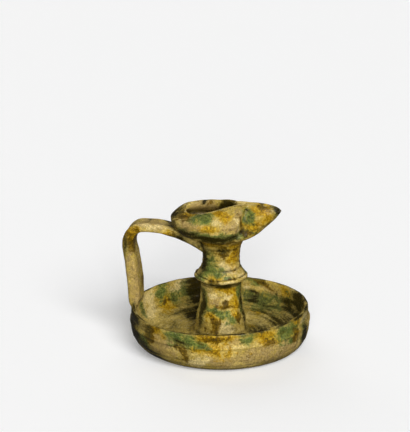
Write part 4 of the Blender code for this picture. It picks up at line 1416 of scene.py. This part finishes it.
@dataclass(frozen=True)
class SplashedGlaze:
    """Splashed lead glaze over a pale slip: worn and painted pale as highlights on its edges, darkened with
    painted shade in its hollows.
    """

    cream: Colour = (0.60, 0.445, 0.125)
    straw: Colour = (0.40, 0.285, 0.055)
    olive: Colour = (0.165, 0.128, 0.016)
    pale: Colour = (0.72, 0.57, 0.24)
    clay: Colour = (0.40, 0.278, 0.084)
    rose: Colour = (0.35, 0.242, 0.094)
    green_pale: Colour = (0.20, 0.215, 0.040)
    green: Colour = (0.110, 0.150, 0.030)
    green_deep: Colour = (0.032, 0.062, 0.012)
    amber_pale: Colour = (0.54, 0.350, 0.018)
    amber: Colour = (0.40, 0.222, 0.003)
    amber_deep: Colour = (0.20, 0.104, 0.001)
    brown: Colour = (0.105, 0.060, 0.002)
    brown_deep: Colour = (0.036, 0.020, 0.001)
    umber: Colour = (0.135, 0.086, 0.005)
    # The two darkest colours paint shade as well as soot and grime: they go into grime patches, creases and
    # recesses.
    film_and_shade: Colour = (0.062, 0.056, 0.014)
    soot_and_shade: Colour = (0.017, 0.012, 0.001)

    def material(self) -> bpy.types.Material:
        """The finish as a material that reads the lamp's own attributes and Object coordinates."""
        material = bpy.data.materials.new("splashed_glaze_dressed")
        material.use_nodes = True
        graph = Graph(material.node_tree)
        shader = material.node_tree.nodes["Principled BSDF"]
        shader.inputs["Specular IOR Level"].default_value = 0.22
        shader.inputs["Coat Roughness"].default_value = 0.12
        place = graph.node("ShaderNodeTexCoord", output="Object")
        lay = self.stored(graph, "lay", "Vector")
        bend = graph.node(
            "ShaderNodeTexNoise", None, {"Vector": place, "Scale": 170.0, "Detail": 4.0}, "Color"
        )
        bend = graph.scaled(graph.vector("SUBTRACT", bend, (0.5, 0.5, 0.5)), 0.015)
        bent = graph.vector("ADD", place, bend)
        noises = {
            "broad": graph.clouds(place, 38.0, 2.0),
            "patch": graph.clouds(bent, 130.0, 4.0, 0.6),
            "stain": graph.clouds(bent, 250.0, 5.0, 0.7),
            "fine": graph.clouds(bent, 470.0, 4.0, 0.65),
            "fleck": graph.clouds(place, 620.0, 3.0, 0.7),
            "grain": graph.clouds(place, 1500.0, 3.0, 0.6),
            "streak": graph.clouds(lay, 60.0, 4.0, 0.6),
        }
        patch, fine, grain, streak = (noises[name] for name in ("patch", "fine", "grain", "streak"))
        fray = (patch - 0.5) * 3.0 + (noises["stain"] - 0.5) * 1.6
        fray = fray + (fine - 0.5) * 1.6 + (streak - 0.5) * 2.2
        masks = {}
        for glaze in Glaze:
            if glaze is not Glaze.GRIME:
                depth = self.stored(graph, glaze.value, "Fac") + fray * 0.8
                masks[glaze] = (graph.step(depth, *self.edges(glaze)), depth)
        # Grime and painted shade: dark patches for soot and old oil, and painted shadows and shading under
        # the cup and collar, beside the stem and on sides turned from the light.
        grime = self.stored(graph, "grime", "Fac") * (1.0 + (streak - 0.5) * 2.4 + (fine - 0.5) * 1.2)
        grime = graph.step(grime, 0.02, 0.88)
        colour = self.coloured(graph, self.ground(graph, noises), masks, noises)
        colour, dots = self.speckled(graph, colour, place, bent, masks, noises, grime)
        film_and_shade = graph.mix(graph.step(grime, 0.45, 0.95), self.film_and_shade, self.soot_and_shade)
        colour = graph.mix(graph.math("MINIMUM", grime * 1.15, 0.965), colour, film_and_shade)
        # Pale edges, mixed in further down: wear on convex edges, and painted highlights along the lips,
        # ridges, folds and the collar's chip.
        wear_and_highlight = self.stored(graph, "wear_and_highlight", "Fac")
        worn_and_highlit = graph.step(wear_and_highlight + (fine - 0.5) * 3.4 + (patch - 0.5) * 2.4, 0.45, 1.05)
        worn_and_highlit = worn_and_highlit * graph.step(wear_and_highlight, 0.02, 0.30) * (1.0 - grime * 0.85)
        # Painted shade in creases: the hollow attribute darkens them towards the darkest colour.
        hollow = self.stored(graph, "hollow", "Fac") * (1.0 + (patch - 0.5) * 3.0)
        colour = graph.mix(graph.math("MINIMUM", hollow * 0.75, 0.9), colour, self.soot_and_shade)
        # Painted occlusion shade: points that the lamp's own walls close in are darkened.
        occlusion_shade = self.stored(graph, "occlusion_shade", "Fac") * (0.62 + (patch - 0.5) * 1.5)
        colour = graph.mix(graph.math("MINIMUM", occlusion_shade, 0.85), colour, self.soot_and_shade)
        depth = 1.0 + (noises["fleck"] - 0.5) * 1.9 + (grain - 0.5) * 1.3
        colour = graph.mix(1.0, colour, graph.together(depth, depth, depth), "MULTIPLY")
        colour = graph.mix(worn_and_highlit * 0.6, colour, self.pale)
        matt = graph.math("MAXIMUM", masks[Glaze.CLAY][0], worn_and_highlit)
        roughness = 0.24 + (grain - 0.5) * 0.3 + matt * 0.30 + (patch - 0.5) * 0.3
        coat = (1.0 - matt * 0.85) * 0.10
        height = self.relief(graph, place, masks, noises, dots)
        bump = graph.node(
            "ShaderNodeBump", None, {"Strength": 0.7, "Distance": 0.5 * MM, "Height": height}, "Normal"
        )
        looks = {"Base Color": colour, "Roughness": roughness, "Coat Weight": coat, "Normal": bump}
        for name, value in looks.items():
            graph.tree.links.new(value.socket, shader.inputs[name])
        return material

    @staticmethod
    def edges(glaze: Glaze) -> tuple[float, float]:
        """Where a splash of the glaze starts and where it covers fully. The brown bleeds least."""
        if glaze is Glaze.BROWN:
            return -0.24, 0.24
        if glaze is Glaze.AMBER:
            return -0.44, 0.34
        return -0.42, 0.32

    @staticmethod
    def stored(graph: Graph, name: str, output: str) -> Value:
        """An attribute that the lamp's mesh carries."""
        return graph.node("ShaderNodeAttribute", {"attribute_name": name}, None, output)

    def ground(self, graph: Graph, noises: dict[str, Value]) -> Value:
        """Colour of the plain glaze: cream to straw, clouded with olive and stained brown."""
        warm = graph.step(noises["broad"] * 0.45 + noises["patch"] * 0.55, 0.43, 0.57)
        base = graph.mix(warm, self.straw, self.cream)
        cloudy = graph.step(noises["streak"] * 0.55 + noises["patch"] * 0.45, 0.49, 0.61)
        base = graph.mix(cloudy * 0.55, base, self.olive)
        stained = graph.step(noises["stain"] * 0.6 + noises["fine"] * 0.4, 0.515, 0.63)
        base = graph.mix(stained * 0.42, base, self.umber)
        light = graph.step(noises["fine"] * 0.6 + noises["grain"] * 0.4, 0.53, 0.64)
        return graph.mix(light * 0.5, base, self.pale)

    def coloured(
        self, graph: Graph, base: Value, masks: dict[Glaze, tuple[Value, Value]], noises: dict[str, Value]
    ) -> Value:
        """The ground with every glaze laid over it, each deeper in the middle of its splashes."""
        patch, fine, grain, stain = (noises[name] for name in ("patch", "fine", "grain", "stain"))
        mottle = (fine - 0.5) * 2.6 + (stain - 0.5) * 2.2 + (grain - 0.5) * 1.0
        tone = graph.mix(graph.step(patch, 0.4, 0.6), self.clay, self.rose)
        tone = graph.mix(graph.step(stain * 0.5 + fine * 0.5, 0.50, 0.62) * 0.55, tone, self.umber)
        colour = graph.mix(masks[Glaze.CLAY][0] * 0.8, base, tone)
        colour = graph.mix(masks[Glaze.CREAM][0] * 0.75, colour, self.pale)
        kinds = (
            (Glaze.AMBER, (self.amber_pale, self.amber, self.amber_deep), 0.95),
            (Glaze.GREEN, (self.green_pale, self.green, self.green_deep), 0.92),
            (Glaze.BROWN, (self.amber_deep, self.brown, self.brown_deep), 0.90),
        )
        for glaze, (thin, middle, thick), cover in kinds:
            mask, depth = masks[glaze]
            tint = graph.node(
                "ShaderNodeValToRGB", {"stops": [(0.05, thin), (0.42, middle), (0.98, thick)]},
                {0: depth * 0.55 + mottle * 0.75 + 0.22},
            )
            rim = graph.step(depth, -0.55, 0.0)
            colour = graph.mix(rim * 0.30, colour, middle)
            colour = graph.mix(mask * cover, colour, tint)
        return colour

    def speckled(
        self, graph: Graph, colour: Value, place: Value, bent: Value,
        masks: dict[Glaze, tuple[Value, Value]], noises: dict[str, Value], grime: Value,
    ) -> tuple[Value, Value]:
        """Dark specks of ore, pale burst blisters and the fine crackle of the glaze.

        Returns:
            The colour with its specks, and the mask of the dark ones.
        """
        patch, fine = noises["patch"], noises["fine"]
        ore = 1.0 - graph.step(graph.cells(bent, 700.0), 0.18, 0.40)
        rich = masks[Glaze.AMBER][1] * 0.4 + masks[Glaze.BROWN][1] * 0.5 + patch * 1.6
        where = graph.step(rich, 0.55, 1.0)
        dark = ore * (0.22 + 0.7 * where)
        colour = graph.mix(dark, colour, self.brown_deep)
        blister = 1.0 - graph.step(graph.cells(place, 560.0), 0.10, 0.24)
        dark_glaze = graph.math("MAXIMUM", masks[Glaze.BROWN][0], masks[Glaze.AMBER][0])
        plain = 1.0 - graph.math("MAXIMUM", dark_glaze, grime) * 0.95
        pale = blister * plain * graph.step(fine * 0.6 + patch * 0.4, 0.49, 0.58)
        colour = graph.mix(pale * 0.5, colour, (0.80, 0.70, 0.42))
        crack = 1.0 - graph.step(graph.cells(bent, 300.0, "DISTANCE_TO_EDGE"), 0.012, 0.06)
        seen = graph.step(patch, 0.44, 0.56)
        return graph.mix(crack * seen * 0.5, colour, self.brown), dark

    @staticmethod
    def relief(
        graph: Graph, place: Value, masks: dict[Glaze, tuple[Value, Value]],
        noises: dict[str, Value], dots: Value,
    ) -> Value:
        """Height of the surface: glaze standing proud of the clay, brushed streaks, grit and pinholes."""
        thick = graph.step(masks[Glaze.GREEN][1], -0.1, 0.6) + graph.step(masks[Glaze.AMBER][1], -0.1, 0.6)
        pinholes = 1.0 - graph.step(graph.cells(place, 420.0), 0.05, 0.16)
        rough = noises["fine"] * 1.3 + noises["patch"] * 1.2
        rough = rough + noises["grain"] * 0.45 + noises["streak"] * 1.0
        return thick * 0.3 + rough - pinholes * 0.5 - dots * 0.25


@dataclass
class GlazedLamp:
    """The whole lamp, which was joined in the wet clay and fired as one piece."""

    body: ThrownBody
    reservoir: Reservoir
    handle: StrapHandle
    cup_joint: ClayJoint
    strap_joint: ClayJoint
    decor: SplashedDecor
    finish: SplashedGlaze
    probes: int = 12
    probe_reach: float = 60.0
    collar_foot: tuple[float, float] = (50.0, 52.0)
    collar_top: tuple[float, float] = (58.0, 61.0)
    collar_kept: float = 0.72
    chip_at: tuple[float, float] = (7.0, -20.0)
    chip_reach: tuple[float, float] = (5.0, 9.0)
    strap_lay: float = 128.0

    def build(self, box: tuple[Sequence[float], Sequence[float]]) -> bpy.types.Object:
        """Make the lamp inside the solid model's box.

        Args:
            box: lowest and highest corner that the lamp may reach.

        Returns:
            The dressed lamp.
        """
        material = self.finish.material()
        mesh = self.cup_joint.joined(self.body.mesh(material), self.reservoir.mesh())
        mesh = self.strap_joint.joined(mesh, self.handle.mesh(material))
        mesh.name = "glazed_lamp"
        mesh.materials.clear()
        mesh.materials.append(material)
        self.roughen(mesh)
        self.fit(mesh, box)
        self.mark(mesh)
        mesh.shade_smooth()
        lamp = bpy.data.objects.new("glazed_lamp", mesh)
        bpy.context.scene.collection.objects.link(lamp)
        return lamp

    def roughen(self, mesh: bpy.types.Mesh) -> None:
        """Give the walls the soft lumps and small dents of hand work."""
        places, normals = read_places(mesh), read_normals(mesh)
        above = fade(places[:, 2], 0.3, 4.0)
        push = 0.22 * bumps(places, 9.0, 11.0) + 0.12 * bumps(places, 4.0, 17.0)
        write_places(mesh, places + normals * (above * push)[:, None])

    @staticmethod
    def fit(mesh: bpy.types.Mesh, box: tuple[Sequence[float], Sequence[float]]) -> None:
        """Draw in what stands outside the box by a hair."""
        places = read_places(mesh)
        low, high = (np.array(corner) / MM for corner in box)
        for axis in range(3):
            for limit, edge in ((low[axis], places[:, axis].min()), (high[axis], places[:, axis].max())):
                if (edge < limit) == (limit == low[axis]) and abs(edge) > 1e-6 and edge != limit:
                    side = np.sign(limit) * places[:, axis] > 0.0
                    places[side, axis] *= limit / edge
        places[:, 2] = np.maximum(places[:, 2], 0.0)
        write_places(mesh, places)

    def pale_edge_share(self, places: np.ndarray) -> np.ndarray:
        """How much of the pale edge shows, as wear and painted highlight: little on the collar, but for its
        front chip.
        """
        above, below = fade(places[:, 2], *self.collar_foot), fade(places[:, 2], *self.collar_top)
        collar = above * (1.0 - below)
        apart = np.linalg.norm(places[:, :2] - np.array(self.chip_at), axis=1)
        chip = 1.0 - fade(apart, *self.chip_reach)
        return 1.0 - self.collar_kept * collar * (1.0 - chip)

    def mark(self, mesh: bpy.types.Mesh) -> None:
        """Store on the mesh where the glazes and the painted shade lie, which edges are worn and painted
        pale as highlights, and which creases and recesses are darkened as painted shade.
        """
        places, normals, edges = read_places(mesh), read_normals(mesh), read_edges(mesh)
        for glaze, value in self.decor.fields(places, normals).items():
            store(mesh, glaze.value, value)
        length = np.linalg.norm(places[edges[:, 0]] - places[edges[:, 1]], axis=1)
        spacing = np.zeros(len(places))
        count = np.zeros(len(places))
        for side in (0, 1):
            np.add.at(spacing, edges[:, side], length ** 2)
            np.add.at(count, edges[:, side], 1.0)
        spacing = np.maximum(spacing / np.maximum(count, 1.0), 0.05)
        bend = -2.0 * ((neighbour_mean(places, edges) - places) * normals).sum(axis=1) / spacing
        for _ in range(2):
            bend = 0.5 * bend + 0.5 * neighbour_mean(bend, edges)
        # Pale convex edges, as wear and as painted highlight.
        store(mesh, "wear_and_highlight", fade(bend, 0.09, 0.36) * self.pale_edge_share(places))
        # Concave creases, which get painted shade.
        deep = bend
        for _ in range(3):
            deep = 0.5 * deep + 0.5 * neighbour_mean(deep, edges)
        store(mesh, "hollow", fade(-deep, 0.02, 0.15))
        store(mesh, "lay", self.brush_lay(places))
        # Painted occlusion shade, kept weak on the cup's upper half.
        kept_below_cup_middle = 1.0 - 0.85 * fade(places[:, 2], 98.0, 104.0)
        store(mesh, "occlusion_shade", kept_below_cup_middle * fade(self.occlusion(mesh, places, normals), 0.22, 0.85))

    def occlusion(self, mesh: bpy.types.Mesh, places: np.ndarray, normals: np.ndarray) -> np.ndarray:
        """How far the lamp's own walls close in on each of its points, which sets the painted occlusion
        shade.

        Args:
            mesh: the lamp.
            places: its points in millimetres.
            normals: the directions out of it there.

        Returns:
            For each point 0 in the open, and 1 where walls stand close on every side.
        """
        tree = ClayJoint.tree(mesh)
        turns = np.arange(self.probes) * math.pi * (3.0 - math.sqrt(5.0))
        lifts = np.sqrt((np.arange(self.probes) + 0.5) / self.probes)
        helper = np.where(np.abs(normals[:, 2:]) < 0.9, (0.0, 0.0, 1.0), (1.0, 0.0, 0.0))
        side = np.cross(normals, helper)
        side /= np.linalg.norm(side, axis=1)[:, None]
        other = np.cross(normals, side)
        starts = [Vector(start) for start in (places + 0.3 * normals) * MM]
        reach = self.probe_reach * MM
        hidden = np.zeros(len(places))
        for turn, lift in zip(turns, lifts):
            ways = lift * math.cos(turn) * side + lift * math.sin(turn) * other
            ways += math.sqrt(1.0 - lift ** 2) * normals
            hits = [tree.ray_cast(start, way, reach)[3] for start, way in zip(starts, ways.tolist())]
            hidden += [0.0 if hit is None else 1.0 - 0.6 * hit / reach for hit in hits]
        hidden /= self.probes
        edges = read_edges(mesh)
        for _ in range(4):
            hidden = 0.5 * hidden + 0.5 * neighbour_mean(hidden, edges)
        return hidden

    def brush_lay(self, places: np.ndarray) -> np.ndarray:
        """Coordinates in metres that run round the wheel on thrown parts and along the strap handle."""
        radius = np.hypot(places[:, 0], places[:, 1]) + 1e-6
        around = places[:, :2] / radius[:, None]
        thrown = np.column_stack((26.0 * around, 3.2 * (places[:, 2] + radius)))
        path, _, share = self.handle.path()
        finder = KDTree(len(path))
        for index, spot in enumerate(path):
            finder.insert(spot, index)
        finder.balance()
        strap = np.zeros((len(places), 3))
        on_strap = np.zeros(len(places))
        behind = np.flatnonzero(
            (places[:, 0] < -20.0) & (np.abs(places[:, 1]) < 14.0) & (places[:, 2] > 22.0)
        )
        for index in behind:
            _, nearest, distance = finder.find(places[index])
            side = places[index, 1]
            if math.sqrt(max(distance ** 2 - side ** 2, 0.0)) < 5.5 and 0.05 < share[nearest] < 0.93:
                on_strap[index] = 1.0
                strap[index] = (5.0 * side, 5.0 * distance, self.strap_lay * share[nearest])
        mixed = np.where(on_strap[:, None] > 0.5, strap, thrown)
        return mixed * MM


@dataclass
class Studio:
    """The pale floor, the soft lights and the camera at the photograph's viewing angle."""

    azimuth: float = 10.0
    elevation: float = 20.7
    distance: float = 1.4
    aim_height: float = 31.6
    aim_pixel: tuple[float, float] = (221.25, 303.3)
    frame: tuple[int, int] = (410, 432)
    focal_pixels: float = 1780.0
    floor_colour: Colour = (0.90, 0.90, 0.90)
    floor_glow: float = 0.12
    sky_colour: Colour = (0.06, 0.06, 0.06)

    def view_axes(self) -> tuple[Vector, Vector, Vector]:
        """Right, upward and forward directions of a camera aimed at the dish's middle."""
        turn, rise = math.radians(self.azimuth), math.radians(self.elevation)
        right = Vector((math.cos(turn), math.sin(turn), 0.0))
        level = Vector((-math.sin(turn), math.cos(turn), 0.0))
        forward = level * math.cos(rise) - Vector((0.0, 0.0, math.sin(rise)))
        return right, right.cross(forward), forward

    def place_camera(self) -> None:
        """Put the camera where the photograph was taken, turned so that the lamp sits off centre."""
        right, upward, forward = self.view_axes()
        camera = bpy.data.objects.new("camera", bpy.data.cameras.new("camera"))
        camera.data.lens = self.focal_pixels / max(self.frame) * camera.data.sensor_width
        camera.data.clip_start = 0.05
        camera.location = Vector((0.0, 0.0, self.aim_height * MM)) - forward * self.distance
        across = 0.5 * self.frame[0] - self.aim_pixel[0]
        down = 0.5 * self.frame[1] - self.aim_pixel[1]
        gaze = forward * self.focal_pixels + right * across - upward * down
        camera.rotation_euler = gaze.to_track_quat("-Z", "Y").to_euler()
        bpy.context.scene.collection.objects.link(camera)
        bpy.context.scene.camera = camera

    def place_light(
        self, name: str, azimuth: float, elevation: float, spread: float, strength: float,
        glossy: bool = False,
    ) -> None:
        """Add a far, soft light that shines on the lamp from a direction in degrees."""
        light = bpy.data.lights.new(name, "SUN")
        light.energy = strength
        light.angle = math.radians(spread)
        turn, rise = math.radians(azimuth), math.radians(elevation)
        way = Vector((math.sin(turn) * math.cos(rise), -math.cos(turn) * math.cos(rise), math.sin(rise)))
        lamp = bpy.data.objects.new(name, light)
        lamp.visible_glossy = glossy
        lamp.location = way * self.distance
        lamp.rotation_euler = (-way).to_track_quat("-Z", "Y").to_euler()
        bpy.context.scene.collection.objects.link(lamp)

    def place_floor(self) -> None:
        """Lay the pale floor under the lamp. It's seen and shadowed, but throws no light back."""
        mesh = bpy.data.meshes.new("floor")
        reach = 12.0
        mesh.from_pydata(
            [(-reach, -reach, 0.0), (reach, -reach, 0.0), (reach, reach, 0.0), (-reach, reach, 0.0)], [],
            [(0, 1, 2, 3)],
        )
        floor = bpy.data.objects.new("floor", mesh)
        material = bpy.data.materials.new("pale_floor")
        material.use_nodes = True
        shader = material.node_tree.nodes["Principled BSDF"]
        shader.inputs["Base Color"].default_value = (*self.floor_colour, 1.0)
        shader.inputs["Roughness"].default_value = 0.9
        shader.inputs["Specular IOR Level"].default_value = 0.1
        shader.inputs["Emission Color"].default_value = (1.0, 1.0, 1.0, 1.0)
        shader.inputs["Emission Strength"].default_value = self.floor_glow
        mesh.materials.append(material)
        floor.visible_diffuse = False
        floor.visible_glossy = False
        bpy.context.scene.collection.objects.link(floor)
        floor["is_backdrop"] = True

    def light_sky(self) -> None:
        """Dim, even light from all round."""
        world = bpy.data.worlds.new("studio")
        world.use_nodes = True
        world.node_tree.nodes["Background"].inputs["Color"].default_value = (*self.sky_colour, 1.0)
        bpy.context.scene.world = world

    def build(self) -> None:
        """Set up everything round the lamp."""
        self.place_camera()
        self.place_floor()
        self.light_sky()
        self.place_light("key", 34.0, 40.0, 34.0, 2.25, True)
        self.place_light("front", 10.0, 18.0, 24.0, 2.1)
        self.place_light("back", 205.0, 30.0, 60.0, 1.0)
        bpy.context.scene.view_settings.view_transform = "Standard"


def main() -> None:
    """Load the fixed frame, build the lamp and its studio, and log its triangle count."""
    logging.basicConfig(level=logging.INFO, format="%(name)s: %(message)s")
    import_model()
    cad_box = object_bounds()
    Studio().build()
    LOG.info("studio set up")
    dish, stem = DripDish(), Stem()
    lamp = GlazedLamp(
        ThrownBody(dish, stem), Reservoir(), StrapHandle(dish, stem), ClayJoint(), ClayJoint(2.6, 9, 0.25),
        SplashedDecor(), SplashedGlaze()
    ).build(cad_box)
    triangles = sum(len(face.vertices) - 2 for face in lamp.data.polygons)
    LOG.info("glazed_lamp: %d triangles", triangles)
    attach(lamp, "root")
    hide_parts("oil_lamp")


if __name__ == "__main__":
    main()
